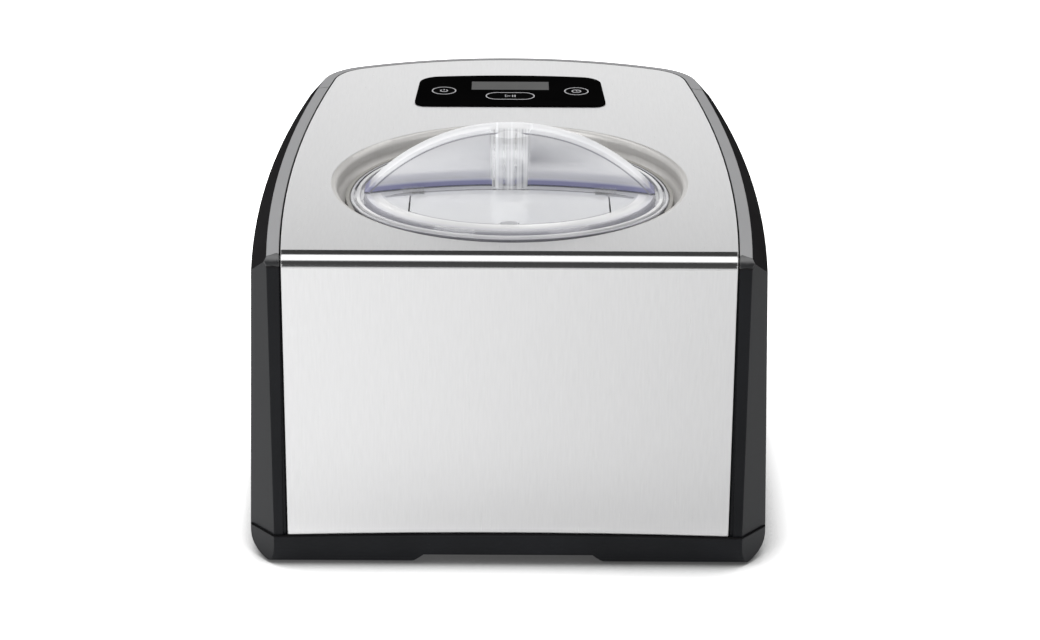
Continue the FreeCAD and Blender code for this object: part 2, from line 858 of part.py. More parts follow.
def involute_gear(teeth, low, first_tooth_deg):
    """Solid spur gear; the middle of its first tooth stands at the given angle."""
    pitch = gear_module * teeth / 2
    base = pitch * math.cos(math.radians(pressure_angle))
    tip = pitch + gear_module * addendum_share
    root = pitch - gear_module * dedendum_share
    half_tooth = math.pi / (2 * teeth) - backlash / (2 * pitch)

    def spread(radius):
        if radius <= base:
            return 0.0
        roll = math.sqrt((radius / base) ** 2 - 1)
        return roll - math.atan(roll)

    flank_start = max(base, root)
    steps = 5
    flank = [flank_start + (tip - flank_start) * number / steps for number in range(steps + 1)]
    angles = [half_tooth + spread(pitch) - spread(radius) for radius in flank]

    def at(radius, angle):
        return Vector(radius * math.cos(angle), radius * math.sin(angle), low)

    points = []
    for tooth in range(teeth):
        middle = math.radians(first_tooth_deg) + 2 * math.pi * tooth / teeth
        points.append(at(root, middle - angles[0]))
        points += [at(radius, middle - angle) for radius, angle in zip(flank, angles)]
        points += [at(radius, middle + angle) for radius, angle in zip(reversed(flank), reversed(angles))]
        points.append(at(root, middle + angles[0]))
    distinct = [points[0]]
    for point in points[1:]:
        if (point - distinct[-1]).Length > fit_gap / 10:
            distinct.append(point)
    return flat_prism(distinct, Vector(0, 0, gear_width))


def output_gear():
    """Wheel on the drive shaft; one tooth points at the intermediate gear."""
    wheel = involute_gear(wheel_teeth, output_low, 180.0)
    wheel.translate(Vector(0, bowl_y, 0))
    return wheel.cut(cylinder(drive_shaft_radius + fit_gap / 5, output_low, plate_low, 0, bowl_y))


def intermediate_gear():
    """Compound gear: its pinion drives the output gear, its wheel is driven by the motor's pinion."""
    half_pinion_tooth = 180.0 / pinion_teeth
    pinion = involute_gear(pinion_teeth, output_low, half_pinion_tooth)
    wheel = involute_gear(wheel_teeth, idler_low, 180.0)
    root = gear_module * (pinion_teeth / 2 - dedendum_share)
    neck = cylinder(root, idler_low + gear_width, output_low)
    gear = fused([pinion, neck, wheel])
    gear.translate(Vector(idler_x, bowl_y, 0))
    return gear.cut(cylinder(axle_radius + shaft_clearance, idler_low, plate_low, idler_x, bowl_y))


def motor_pinion():
    """Motor shaft with the pinion cut on its end."""
    half_pinion_tooth = 180.0 / pinion_teeth
    pinion = involute_gear(pinion_teeth, idler_low, half_pinion_tooth)
    shaft = cylinder(motor_shaft_radius, gearbox_low - motor_length / 2, idler_low)
    piece = fused([pinion, shaft])
    piece.translate(Vector(motor_x, bowl_y, 0))
    return piece


def intermediate_axle():
    """Fixed pin of the intermediate gear, between the gearbox floor and the chassis plate."""
    return cylinder(axle_radius, gearbox_floor_top, plate_low, idler_x, bowl_y)


def gearbox_screw_spots():
    """Centres of the four screws that hold the gearbox to the chassis plate."""
    reach = gearbox_outer + screw_head_radius + running_gap
    return [(x, bowl_y + side * reach) for x in (motor_x, 0.0) for side in (1, -1)]


def long_round(radius, low, high):
    """Upright prism with two straight sides and round ends, from the motor's axis to the bowl's."""
    middle = block(motor_x, 0, bowl_y - radius, bowl_y + radius, low, high)
    ends = [cylinder(radius, low, high, x, bowl_y) for x in (motor_x, 0)]
    return fused([middle] + ends)


def gearbox_housing():
    """Tray under the chassis plate that holds the gears, with four screw ears."""
    ear_low = plate_low - 2 * screw_head
    ear_radius = screw_head_radius + gearbox_wall
    ears = [cylinder(ear_radius, ear_low, plate_low, x, y) for x, y in gearbox_screw_spots()]
    tray = fused([long_round(gearbox_outer, gearbox_low, plate_low)] + ears)
    tray = tray.cut(long_round(gearbox_inner, gearbox_floor_top, plate_low))
    bearing = drive_shaft_radius - journal_step + shaft_clearance
    tray = tray.cut(cylinder(bearing, gearbox_low, gearbox_floor_top, 0, bowl_y))
    opening = motor_shaft_radius + motor_hole_margin
    tray = tray.cut(cylinder(opening, gearbox_low, gearbox_floor_top, motor_x, bowl_y))
    holes = [cylinder(screw_radius, ear_low, plate_low, x, y) for x, y in gearbox_screw_spots()]
    return tray.cut(Part.makeCompound(holes))


def gearbox_screws():
    """Four screws up through the gearbox's ears into the chassis plate."""
    ear_low = plate_low - 2 * screw_head
    return Part.makeCompound([screw(x, y, ear_low, 1) for x, y in gearbox_screw_spots()])


def mixing_motor():
    """Motor can under the gearbox, with a bore for its shaft and a bearing boss below."""
    can = cylinder(motor_radius, motor_low, gearbox_low, motor_x, bowl_y)
    can = can.makeFillet(motor_radius / 9, [edge for edge in can.Edges if edge.Length > motor_radius])
    bore_share = 0.55
    bore_low = gearbox_low - motor_length * bore_share
    bore = cylinder(motor_shaft_radius + shaft_clearance, bore_low, gearbox_low, motor_x, bowl_y)
    return can.cut(bore)


def drive_shaft():
    """Upright shaft from the gearbox floor to the square head that drives the paddle."""
    journal = cylinder(drive_shaft_radius - journal_step, gearbox_low + running_gap, output_low, 0, bowl_y)
    stem = cylinder(drive_shaft_radius, output_low, square_low, 0, bowl_y)
    half = drive_square / 2
    square = block(-half, half, bowl_y - half, bowl_y + half, square_low, shaft_top)
    return fused([journal, stem, square])


def shaft_bush():
    """Flanged brass bush of the drive shaft, through the plate, the foam's floor and the well's floor."""
    return ring(drive_shaft_radius + shaft_clearance, bush_radius, plate_low, bush_top, 0, bowl_y)


def shaft_seal():
    """Rubber lip seal on top of the bush, which keeps mix out of the bearing."""
    inner = drive_shaft_radius + shaft_clearance
    return ring(inner, bush_radius, bush_top, bush_top + seal_height, 0, bowl_y)


def paddle():
    """Mixing paddle: hub over the bowl's cone, two arms with scraper bars, slanted vanes between."""
    hub_inner = bowl_cone_outer + paddle_hub_gap
    hub_outer = hub_inner + paddle_hub_wall
    low = bowl_floor + paddle_low_gap
    hollow_top = cone_top + paddle_low_gap
    hub = cylinder(hub_outer, low, shaft_top + paddle_cap, 0, bowl_y)
    reach = bowl_inner - paddle_reach_gap
    half = paddle_bar_width / 2
    pieces = [hub]
    for side in (1, -1):
        inner = side * (hub_outer - paddle_hub_wall / 2)
        bar_inner = side * (reach - paddle_bar)
        outer = side * reach
        for beam_low in (low, (low + paddle_top) / 2):
            pieces.append(block(min(inner, outer), max(inner, outer), bowl_y - half / 2, bowl_y + half / 2,
                                beam_low, beam_low + paddle_bar))
        pieces.append(block(min(bar_inner, outer), max(bar_inner, outer), bowl_y - half, bowl_y + half,
                            low, paddle_top))
        vane_x = (inner + bar_inner) / 2
        vane = block(vane_x - half, vane_x + half, bowl_y - half / 3, bowl_y + half / 3,
                     low, (low + paddle_top) / 2 + paddle_bar)
        vane.rotate(Vector(vane_x, bowl_y, low), UP, side * 40)
        pieces.append(vane)
    body = fused(pieces)
    body = body.cut(cylinder(hub_inner, low, hollow_top, 0, bowl_y))
    socket = drive_square / 2 + running_gap
    socket_top = shaft_top + running_gap
    body = body.cut(block(-socket, socket, bowl_y - socket, bowl_y + socket, hollow_top, socket_top))
    shaft_space = cylinder(drive_shaft_radius + running_gap, hollow_top, square_low + running_gap, 0, bowl_y)
    return body.cut(shaft_space)


def dome_height(radius):
    """Height of the lid plate's upper face at a distance from the bowl's axis."""
    curve = (plate_rim_radius ** 2 + lid_dome ** 2) / (2 * lid_dome)
    centre = lid_low + lid_plate_rise + lid_dome - curve
    return centre + math.sqrt(curve ** 2 - radius ** 2)


def lid_shell():
    """Turned part of the lid: domed plate, and the trough, ring, groove and rim round it."""
    start = lid_hub_radius / 2
    middle = plate_rim_radius / 2
    profile = [
        (start, dome_height(start)),
        (middle, dome_height(middle), "arc"),
        (plate_rim_radius, dome_height(plate_rim_radius)),
    ]
    radius = trough_radius
    for rise, width in ((lid_trough_rise, lid_trough_width), (lid_ring_rise, lid_ring_width),
                        (lid_groove_rise, lid_groove_width), (lid_rim_rise, lid_rim_width)):
        profile.append((radius, lid_low + rise))
        profile.append((radius + width, lid_low + rise))
        radius += width + lid_slope
    profile += [
        (lid_radius, lid_low + lid_rim_rise - lid_slope),
        (lid_radius, lid_low),
        (plate_rim_radius, lid_low),
        (plate_rim_radius - lid_plate, dome_height(plate_rim_radius - lid_plate) - lid_plate),
        (middle, dome_height(middle) - lid_plate, "arc"),
        (start, dome_height(start) - lid_plate),
    ]
    return turned(profile, 0, bowl_y)


def tilted(shape):
    """A shape of the lid's front half, turned up about the foot of the handle's front face."""
    shape.rotate(Vector(0, fin_front, lid_low + lid_plate_rise), Vector(1, 0, 0), -lid_tilt_deg)
    return shape


def before_handle(low, high):
    """Everything in front of the handle, between two heights."""
    return block(-2 * lid_radius, 2 * lid_radius, bowl_y - 2 * lid_radius, fin_front, low, high)


def lid_front():
    """Front half of the lid, which rises to the front, with an upright skirt down to the seat."""
    shell = tilted(lid_shell()).common(before_handle(lid_low, fin_crown))
    skirt = ring(lid_radius - lid_skirt, lid_radius, lid_low, fin_crown, 0, bowl_y)
    under_rim = tilted(block(-2 * lid_radius, 2 * lid_radius, bowl_y - 2 * lid_radius, fin_front,
                             lid_low - lid_radius, lid_low + lid_groove_rise))
    skirt = skirt.common(before_handle(lid_low, fin_crown)).common(under_rim)
    return fused([shell, skirt])


def arch_disc(inset, half_depth):
    """Disc whose upper rim is the arch of the handle, inset from it, drawn across the handle's depth."""
    rise = fin_crown - fin_foot
    radius = (fin_half_length ** 2 + rise ** 2) / (2 * rise)
    front = Vector(0, bowl_y - half_depth, fin_crown - radius)
    return Part.makeCylinder(radius - inset, 2 * half_depth, front, Vector(0, 1, 0))


def handle_fin():
    """Outer form of the arched handle, its long edges rounded."""
    half = fin_thickness / 2
    span = block(-fin_half_length, fin_half_length, bowl_y - half, bowl_y + half,
                 lid_low + fin_root, fin_crown)
    fin = span.common(arch_disc(0.0, half))
    long_edges = [edge for edge in fin.Edges if edge.Length > fin_half_length]
    arches = [edge for edge in long_edges if edge.BoundBox.ZLength > fin_wall]
    return fin.makeFillet(fin_edge_round, arches)


def handle_hollow():
    """Space inside the handle, open downwards."""
    half = fin_thickness / 2 - fin_wall
    end = fin_half_length - 2 * fin_wall
    span = block(-end, end, bowl_y - half, bowl_y + half, lid_low - lid_plate, fin_crown)
    return span.common(arch_disc(fin_wall, half))


def handle_column():
    """Round column through the middle of the handle, its crown domed, with a thumb dimple."""
    cap = (column_radius ** 2 + column_dome ** 2) / (2 * column_dome)
    column = cylinder(column_radius, lid_low + fin_root, fin_crown, 0, bowl_y)
    column = column.common(Part.makeSphere(cap, Vector(0, bowl_y, fin_crown - cap)))
    column = column.common(arch_disc(0.0, column_radius))
    return column.cut(cylinder(dimple_radius, fin_crown - dimple_depth, fin_crown, 0, bowl_y))


def flap_space(grow, back):
    """Upright prism of the ingredient flap's outline, grown all round, with a gap behind the hinge."""
    half = flap_half_width + grow
    span = block(-half, half, bowl_y - lid_radius, hinge_y + back, lid_low - lid_plate, fin_crown)
    return span.common(cylinder(flap_front_radius + grow, lid_low - lid_plate, fin_crown, 0, bowl_y))


def hinge_height():
    """Height of the flap's hinge axis, just over the lid plate at the knuckles."""
    rise = (fin_front - hinge_y) * math.tan(math.radians(lid_tilt_deg))
    return dome_height(math.hypot(flap_half_width, hinge_y - bowl_y)) + rise + flap_pin_rise


def hinge_bar(radius, x0, x1):
    """Round bar along the flap's hinge axis."""
    return Part.makeCylinder(radius, x1 - x0, Vector(x0, hinge_y, hinge_height()), Vector(1, 0, 0))


def both_sides(shape):
    """A shape and its mirror image as a group."""
    return Part.makeCompound([shape, mirrored_x(shape)])


def lid():
    """Clear lid with the hollow arched handle, bayonet lugs, the flap's opening and its hinge ears."""
    rear = lid_shell().cut(before_handle(lid_low - lid_plate, fin_crown))
    body = fused([rear, lid_front(), handle_fin()]).cut(handle_hollow())
    body = fused([body, handle_column()])
    hub_space = lid_hub_radius + shaft_clearance
    body = body.cut(cylinder(hub_space, lid_low - lid_plate, hub_top + running_gap, 0, bowl_y))
    ear_start = flap_half_width + running_gap
    ear_end = ear_start + flap_ear
    axis_z = hinge_height()
    ear_foot = block(ear_start, ear_end, hinge_y - flap_knuckle_radius, hinge_y + flap_knuckle_radius,
                     axis_z - flap_knuckle_radius, axis_z)
    ear = fused([ear_foot, hinge_bar(flap_knuckle_radius, ear_start, ear_end)])
    relief = hinge_bar(flap_knuckle_radius + flap_gap, flap_half_width - flap_knuckle - flap_gap, ear_start)
    body = body.cut(flap_space(flap_gap, flap_swing_gap)).cut(both_sides(relief))
    body = fused([body, ear, mirrored_x(ear)])
    body = body.cut(both_sides(hinge_bar(flap_pin_radius + fit_gap / 5, ear_start, ear_end)))
    lug_high = seat_height + bayonet_lip_rise - running_gap
    lugs = [sector(lid_radius - lid_slope, lug_radius, lid_low, lug_high, angle, lug_deg)
            for angle in bayonet_angles()]
    return fused([body] + lugs)


def lid_hub():
    """Clear hub that the lid turns on, with a foot disc over the paddle."""
    stem = cylinder(lid_hub_radius, hub_low, hub_top, 0, bowl_y)
    foot = cylinder(lid_hub_flange, hub_low, hub_low + lid_hub_plate, 0, bowl_y)
    hollow = cylinder(lid_hub_radius - lid_hub_plate, hub_low + lid_hub_plate, hub_top, 0, bowl_y)
    return fused([stem, foot]).cut(hollow)


def ingredient_flap():
    """Flap that closes the lid's opening, flush with the plate, with a notch and two hinge knuckles."""
    plate = tilted(lid_shell()).common(flap_space(0.0, 0.0))
    notch_y = bowl_y - flap_front_radius - notch_half_width + notch_depth
    plate = plate.cut(cylinder(notch_half_width, lid_low - lid_plate, fin_crown, 0, notch_y))
    knuckle = hinge_bar(flap_knuckle_radius, flap_half_width - flap_knuckle, flap_half_width)
    hole = hinge_bar(flap_pin_radius + shaft_clearance, flap_half_width - flap_knuckle, flap_half_width)
    return fused([plate, knuckle, mirrored_x(knuckle)]).cut(both_sides(hole))


def flap_pins():
    """Two short clear pins through the lid's ears and the flap's knuckles."""
    return both_sides(hinge_bar(flap_pin_radius, flap_half_width - flap_knuckle,
                                flap_half_width + running_gap + flap_ear))


def oval(radius, half_length, low, high, y):
    """Upright prism with round ends along X."""
    ends = [cylinder(radius, low, high, side * (half_length - radius), y) for side in (1, -1)]
    middle = block(radius - half_length, half_length - radius, y - radius, y + radius, low, high)
    return fused([middle] + ends)


def key_form(name, grow, low, high):
    """Plan form of one key, grown all round."""
    if name == "middle":
        return oval(oval_key_radius + grow, oval_key_half_length + grow, low, high, oval_key_y)
    side = 1 if name == "right" else -1
    return cylinder(round_key_radius + grow, low, high, side * round_key_x, round_key_y)


KEY_NAMES = ("left", "middle", "right")


def display_block(shrink, low, high):
    """Box of the display window, made smaller all round."""
    half = display_width / 2 - shrink
    deep = display_depth / 2 - shrink
    return block(-half, half, display_y - deep, display_y + deep, low, high)


def control_overlay():
    """Gloss panel in the steel top's window, with holes for the display and keys and posts below."""
    panel = fused([panel_outline(0.0, top_height, panel_top),
                   panel_outline(panel_lip + fit_gap, panel_under, top_height)])
    panel = panel.cut(display_block(0.0, panel_under, panel_top))
    for name in KEY_NAMES:
        panel = panel.cut(key_form(name, key_gap, panel_under, panel_top))
    inset = panel_lip + 2 * standoff_radius
    half = panel_rear_half_width - inset
    posts = []
    for y in (panel_front_y + inset, panel_rear_y - panel_rear_sag - inset):
        for side in (1, -1):
            posts.append(cylinder(standoff_radius, board_top, panel_under, side * half, y))
    return fused([panel] + posts)


def display_window():
    """Clear window of the display, just under the panel's face."""
    high = panel_top - fit_gap
    return display_block(fit_gap, high - display_thickness, high)


def display_module():
    """Display between the window and the control board."""
    return display_block(fit_gap, board_top, panel_top - fit_gap - display_thickness)


def key_cap(name):
    """Key with a flange that keeps it under the panel."""
    return fused([key_form(name, 0.0, key_low, key_top),
                  key_form(name, key_flange, key_low, key_flange_high)])


def key_pads():
    """Rubber pad with a dome under each key."""
    pads = []
    for name in KEY_NAMES:
        pad = key_form(name, 0.0, board_top, mat_top)
        dome = key_form(name, -round_key_radius / 2, mat_top, dome_top)
        pads.append(fused([pad, dome]))
    return Part.makeCompound(pads)


def control_board():
    """Circuit board under the panel, with a few parts on its lower face."""
    low = board_top - board_thickness
    board = panel_outline(panel_lip + fit_gap, low, board_top)
    chip = display_block(display_depth / 4, low - 2 * board_thickness, low)
    plug_y = panel_front_y + display_depth / 2
    plug = block(-display_depth, display_depth, plug_y, panel_front_y + display_depth,
                 low - 5 * board_thickness, low)
    return fused([board, chip, plug])


def compressor_spots():
    """Centres of the compressor's four mounting points."""
    reach = grommet_circle * math.sqrt(0.5)
    return [(compressor_x + i * reach, compressor_y + j * reach) for i in (1, -1) for j in (1, -1)]


def stub_spots():
    """Where the suction and discharge stubs leave the compressor's top."""
    radii_per_reach = 2.6
    reach = compressor_radius / radii_per_reach
    return [(compressor_x + reach, compressor_y - reach / 2),
            (compressor_x + reach / 2, compressor_y + reach)]


def compressor():
    """Welded compressor shell with a seam flange, a foot plate and two pipe stubs."""
    low = compressor_low
    high = compressor_high
    bottom_share = 0.5
    shoulder_share = 0.8
    curve_share = 0.93
    crown_share = 0.62
    sink_share = 0.4
    sink = compressor_dome * sink_share
    shell = turned([
        (0, low),
        (compressor_radius * bottom_share, low),
        (compressor_radius * shoulder_share, low + sink),
        (compressor_radius, low + compressor_dome),
        (compressor_radius, high - compressor_dome),
        (compressor_radius * curve_share, high - compressor_dome / 2, "arc"),
        (compressor_radius * crown_share, high - sink / 3),
        (0, high),
    ], compressor_x, compressor_y)
    middle = (low + high) / 2
    seam_radius = compressor_radius + compressor_foot
    seam = cylinder(seam_radius, middle, middle + compressor_foot, compressor_x, compressor_y)
    reach = grommet_circle * math.sqrt(0.5) + grommet_radius
    foot_low = floor_top + grommet_height
    foot = block(compressor_x - reach, compressor_x + reach, compressor_y - reach, compressor_y + reach,
                 foot_low, foot_low + compressor_foot)
    stubs = [cylinder(stub_radius, middle, stub_top, x, y) for x, y in stub_spots()]
    body = fused([shell, seam, foot] + stubs)
    holes = [cylinder(stud_radius + fit_gap, foot_low, foot_low + compressor_foot, x, y)
             for x, y in compressor_spots()]
    return body.cut(Part.makeCompound(holes))


def compressor_grommets():
    """Rubber bushes between the base's floor and the compressor's foot plate."""
    high = floor_top + grommet_height
    inner = stud_radius + fit_gap
    bushes = [ring(inner, grommet_radius, floor_top, high, x, y) for x, y in compressor_spots()]
    return Part.makeCompound(bushes)


def compressor_studs():
    """Studs with nuts that hold the compressor down."""
    face = floor_top + grommet_height + compressor_foot
    nut_share = 1.3
    nut = stud_radius * nut_share
    studs = []
    for x, y in compressor_spots():
        stud = cylinder(stud_radius, floor_top, face + 2 * nut, x, y)
        studs.append(fused([stud, cylinder(2 * stud_radius, face, face + nut, x, y)]))
    return Part.makeCompound(studs)


def terminal_cover():
    """Plastic cover over the compressor's terminals, on the side towards the power board."""
    size_share = 0.3
    half = compressor_radius * size_share
    middle = compressor_low + terminal_rise
    end_x = compressor_x + compressor_radius + half
    cover = block(compressor_x, end_x, compressor_y - half, compressor_y + half, middle - half, middle + half)
    return cover.cut(cylinder(compressor_radius + fit_gap, compressor_low, compressor_high,
                              compressor_x, compressor_y))


def condenser_rows_z():
    """Heights of the condenser's tubes."""
    step = condenser_rise / condenser_rows
    return [condenser_low + step * (number + 0.5) for number in range(condenser_rows)]


def return_bend(x, y, z0, z1, direction):
    """Half-round tube that joins two condenser tubes at one end."""
    circle = Part.Face(Part.Wire(Part.makeCircle(condenser_tube, Vector(x, y, z0), Vector(0, 1, 0))))
    return circle.revolve(Vector(x, y, (z0 + z1) / 2), Vector(direction, 0, 0), 180)


def condenser():
    """Finned condenser standing on its two end plates, its tubes joined by return bends."""
    x0 = condenser_x
    x1 = condenser_x + condenser_depth
    tube_x = (x0 + x1) / 2
    front = condenser_y - condenser_length / 2
    rear = condenser_y + condenser_length / 2
    high = condenser_low + condenser_rise
    stick = 2 * condenser_tube
    pitch = (condenser_length - fin_sheet) / (fin_count - 1)
    pieces = []
    for number in range(fin_count):
        y = front + pitch * number
        low = floor_top if number in (0, fin_count - 1) else condenser_low
        pieces.append(block(x0, x1, y, y + fin_sheet, low, high))
    rows = condenser_rows_z()
    for z in rows:
        end = rear + stick * (2 if z in (rows[0], rows[-1]) else 1)
        start = Vector(tube_x, front - stick, z)
        pieces.append(Part.makeCylinder(condenser_tube, end - front + stick, start, Vector(0, 1, 0)))
    for number in range(0, condenser_rows - 1, 2):
        pieces.append(return_bend(tube_x, front - stick, rows[number], rows[number + 1], -1))
    for number in range(1, condenser_rows - 2, 2):
        pieces.append(return_bend(tube_x, rear + stick, rows[number], rows[number + 1], 1))
    return fused(pieces)


def along_x(radius, x0, x1):
    """Cylinder on the fan's axis."""
    return Part.makeCylinder(radius, x1 - x0, Vector(x0, condenser_y, fan_z), Vector(1, 0, 0))


def fan_shroud():
    """Plate and ring that guide the air through the condenser, with three arms that carry the fan motor."""
    hole = fan_radius + fan_tip_gap
    outer = hole + shroud_plate
    half = condenser_length / 2
    arm = 2 * shroud_plate
    plate = block(fan_front_x, condenser_x, condenser_y - half, condenser_y + half, condenser_low,
                  condenser_low + condenser_rise)
    plate = fused([plate, along_x(outer, ring_edge_x, fan_front_x)])
    plate = plate.cut(along_x(hole, ring_edge_x, condenser_x))
    cup = along_x(fan_motor_radius + shroud_plate, ring_edge_x - 3 * arm, ring_edge_x)
    pieces = [plate, cup]
    for number in range(3):
        spoke = block(ring_edge_x - arm, ring_edge_x, condenser_y - arm, condenser_y + arm,
                      fan_z + fan_motor_radius, fan_z + outer - shroud_plate / 4)
        spoke.rotate(Vector(0, condenser_y, fan_z), Vector(1, 0, 0), 120 * number)
        pieces.append(spoke)
    body = fused(pieces)
    return body.cut(along_x(fan_motor_radius + fit_gap, ring_edge_x - 3 * arm, ring_edge_x))


def fan_motor():
    """Small motor in the shroud's cup, with a bore for the fan's shaft."""
    front = fan_rear_x - running_gap
    can = along_x(fan_motor_radius, front - fan_motor_length, front)
    bore_share = 0.8
    bore_start = front - fan_motor_length * bore_share
    return can.cut(along_x(fan_shaft_radius + shaft_clearance, bore_start, front))


def fan():
    """Fan with pitched blades on a hub, and the shaft that runs in the motor."""
    hub = along_x(fan_hub_radius, fan_rear_x, fan_front_x)
    shaft_share = 0.7
    chord_share = 1.4
    shaft = along_x(fan_shaft_radius, fan_rear_x - fan_motor_length * shaft_share, fan_rear_x)
    chord = fan_hub_length * chord_share
    middle_x = (fan_rear_x + fan_front_x) / 2
    pieces = [hub, shaft]
    for number in range(fan_blades):
        blade = block(middle_x - fan_blade / 2, middle_x + fan_blade / 2, condenser_y - chord / 2,
                      condenser_y + chord / 2, fan_z + fan_hub_radius - fan_blade, fan_z + fan_radius)
        blade.rotate(Vector(middle_x, condenser_y, fan_z), UP, fan_pitch_deg)
        blade.rotate(Vector(middle_x, condenser_y, fan_z), Vector(1, 0, 0), 360 / fan_blades * number)
        pieces.append(blade)
    body = fused(pieces)
    return body.common(along_x(fan_radius, fan_rear_x - fan_motor_length, fan_front_x))


def filter_drier():
    """Upright copper drier with drawn-in ends."""
    low = drier_low
    high = drier_low + drier_length
    neck = pipe_radius + drier_neck
    taper = drier_radius
    return turned([
        (0, low), (neck, low), (neck, low + taper / 2), (drier_radius, low + 1.5 * taper),
        (drier_radius, high - 1.5 * taper), (neck, high - taper / 2), (neck, high), (0, high),
    ], drier_x, drier_y)


def pipe(points, radius):
    """Round tube along straight runs joined by tangent bends."""
    edges = []
    start = points[0]
    for before, corner, after in zip(points, points[1:], points[2:]):
        run_in = corner - before
        run_out = after - corner
        shorter = min(run_in.Length, run_out.Length)
        into = run_in * (1 / run_in.Length)
        out = run_out * (1 / run_out.Length)
        turn = into.getAngle(out)
        cut = min(pipe_bend * math.tan(turn / 2), 0.45 * shorter)
        bend = cut / math.tan(turn / 2)
        inwards = out - into
        centre = corner + inwards * (bend / math.cos(turn / 2) / inwards.Length)
        outwards = corner - centre
        first = corner - into * cut
        last = corner + out * cut
        edges.append(Part.makeLine(start, first))
        edges.append(Part.Arc(first, centre + outwards * (bend / outwards.Length), last).toShape())
        start = last
    edges.append(Part.makeLine(start, points[-1]))
    circle = Part.Wire(Part.makeCircle(radius, points[0], points[1] - points[0]))
    return Part.Wire(edges).makePipeShell([circle], True, True)


def refrigerant_pipes():
    """Suction, discharge and liquid pipes and the thin tube back to the evaporator."""
    levels = evaporator_levels()
    rows = condenser_rows_z()
    header_y = bowl_y + evaporator_radius + evaporator_tube + fit_gap
    outside_y = bowl_y + foam_outer + 2 * pipe_bend
    suction_stub, discharge_stub = stub_spots()
    over = stub_top + 2 * pipe_bend
    tube_x = condenser_x + condenser_depth / 2
    tube_end_y = condenser_y + condenser_length / 2 + 4 * condenser_tube
    behind_y = tube_end_y + 2 * pipe_bend
    drier_top = drier_low + drier_length
    suction = [
        Vector(0, header_y, levels[-1]),
        Vector(0, outside_y, levels[-1]),
        Vector(suction_stub[0], suction_stub[1], over),
        Vector(suction_stub[0], suction_stub[1], stub_top),
    ]
    discharge = [
        Vector(discharge_stub[0], discharge_stub[1], stub_top),
        Vector(discharge_stub[0], discharge_stub[1], over),
        Vector(tube_x, behind_y, over),
        Vector(tube_x, behind_y, rows[-1]),
        Vector(tube_x, tube_end_y, rows[-1]),
    ]
    liquid = [
        Vector(tube_x, tube_end_y, rows[0]),
        Vector(tube_x, behind_y, rows[0]),
        Vector(drier_x, drier_y, rows[0]),
        Vector(drier_x, drier_y, drier_low),
    ]
    back_to_evaporator = [
        Vector(drier_x, drier_y, drier_top),
        Vector(drier_x, drier_y, drier_top + 3 * pipe_bend),
        Vector(0, outside_y + pipe_bend, drier_top + 3 * pipe_bend),
        Vector(0, outside_y, levels[0]),
        Vector(0, header_y, levels[0]),
    ]
    routes = [suction, discharge, liquid, back_to_evaporator]
    return Part.makeCompound([pipe(route, pipe_radius) for route in routes])


def board_standoff_spots():
    """Centres of the base's standoffs under the power board."""
    half_x = power_board_width / 2 - 2 * standoff_radius
    half_y = power_board_depth / 2 - 2 * standoff_radius
    return [(power_board_x + i * half_x, power_board_y + j * half_y) for i in (1, -1) for j in (1, -1)]


def power_board():
    """Power board with its transformer, capacitor and relay."""
    x0 = power_board_x - power_board_width / 2
    y0 = power_board_y - power_board_depth / 2
    top = board_low + board_thickness
    board = block(x0, x0 + power_board_width, y0, y0 + power_board_depth, board_low, top)
    third = power_board_width / 3
    transformer = block(x0 + third / 4, x0 + third * 1.4, y0 + third / 4, y0 + third * 1.2,
                        top, top + third)
    relay = block(x0 + third * 1.8, x0 + third * 2.7, y0 + third / 4, y0 + third, top, top + third * 0.7)
    capacitor = cylinder(third / 3, top, top + third * 0.9, x0 + third, y0 + third * 2)
    fuse = block(x0 + third * 1.7, x0 + third * 2.7, y0 + third * 1.8, y0 + third * 2.2,
                 top, top + third / 3)
    return fused([board, transformer, relay, capacitor, fuse])


def terminal_block():
    """Terminal block on the base's floor, just inside the cord gland."""
    half = 3 * standoff_radius
    y1 = back_y - 2 * standoff_radius
    body = block(-half, half, y1 - 4 * standoff_radius, y1, floor_top, floor_top + 4 * standoff_radius)
    slot_low = floor_top + 3 * standoff_radius
    slot_high = slot_low + standoff_radius
    slots = [block(x - screw_radius, x + screw_radius, y1 - 3 * standoff_radius, y1, slot_low, slot_high)
             for x in (-half / 1.6, 0.0, half / 1.6)]
    return body.cut(Part.makeCompound(slots))


def rear_wall_y(height):
    """Outer face of the rear wall in the middle, at a height."""
    share = (height - base_height) / (shoulder_height - base_height)
    return back_y + foot_offset + (shoulder_offset - foot_offset) * share


def cord_gland():
    """Gland in the rear wall for a mains cord, its flange inside the wall."""
    end = rear_wall_y(gland_height + gland_outer)
    flange_end = rear_wall_y(gland_height + gland_flange) - cover_wall - running_gap
    along = Vector(0, 1, 0)
    start = Vector(0, end - gland_length, gland_height)
    flange_start = Vector(0, flange_end - gland_flange_thickness, gland_height)
    tube = Part.makeCylinder(gland_outer - fit_gap, gland_length, start, along)
    flange = Part.makeCylinder(gland_flange, gland_flange_thickness, flange_start, along)
    hole = Part.makeCylinder(gland_hole, gland_length, start, along)
    return fused([tube, flange]).cut(hole)


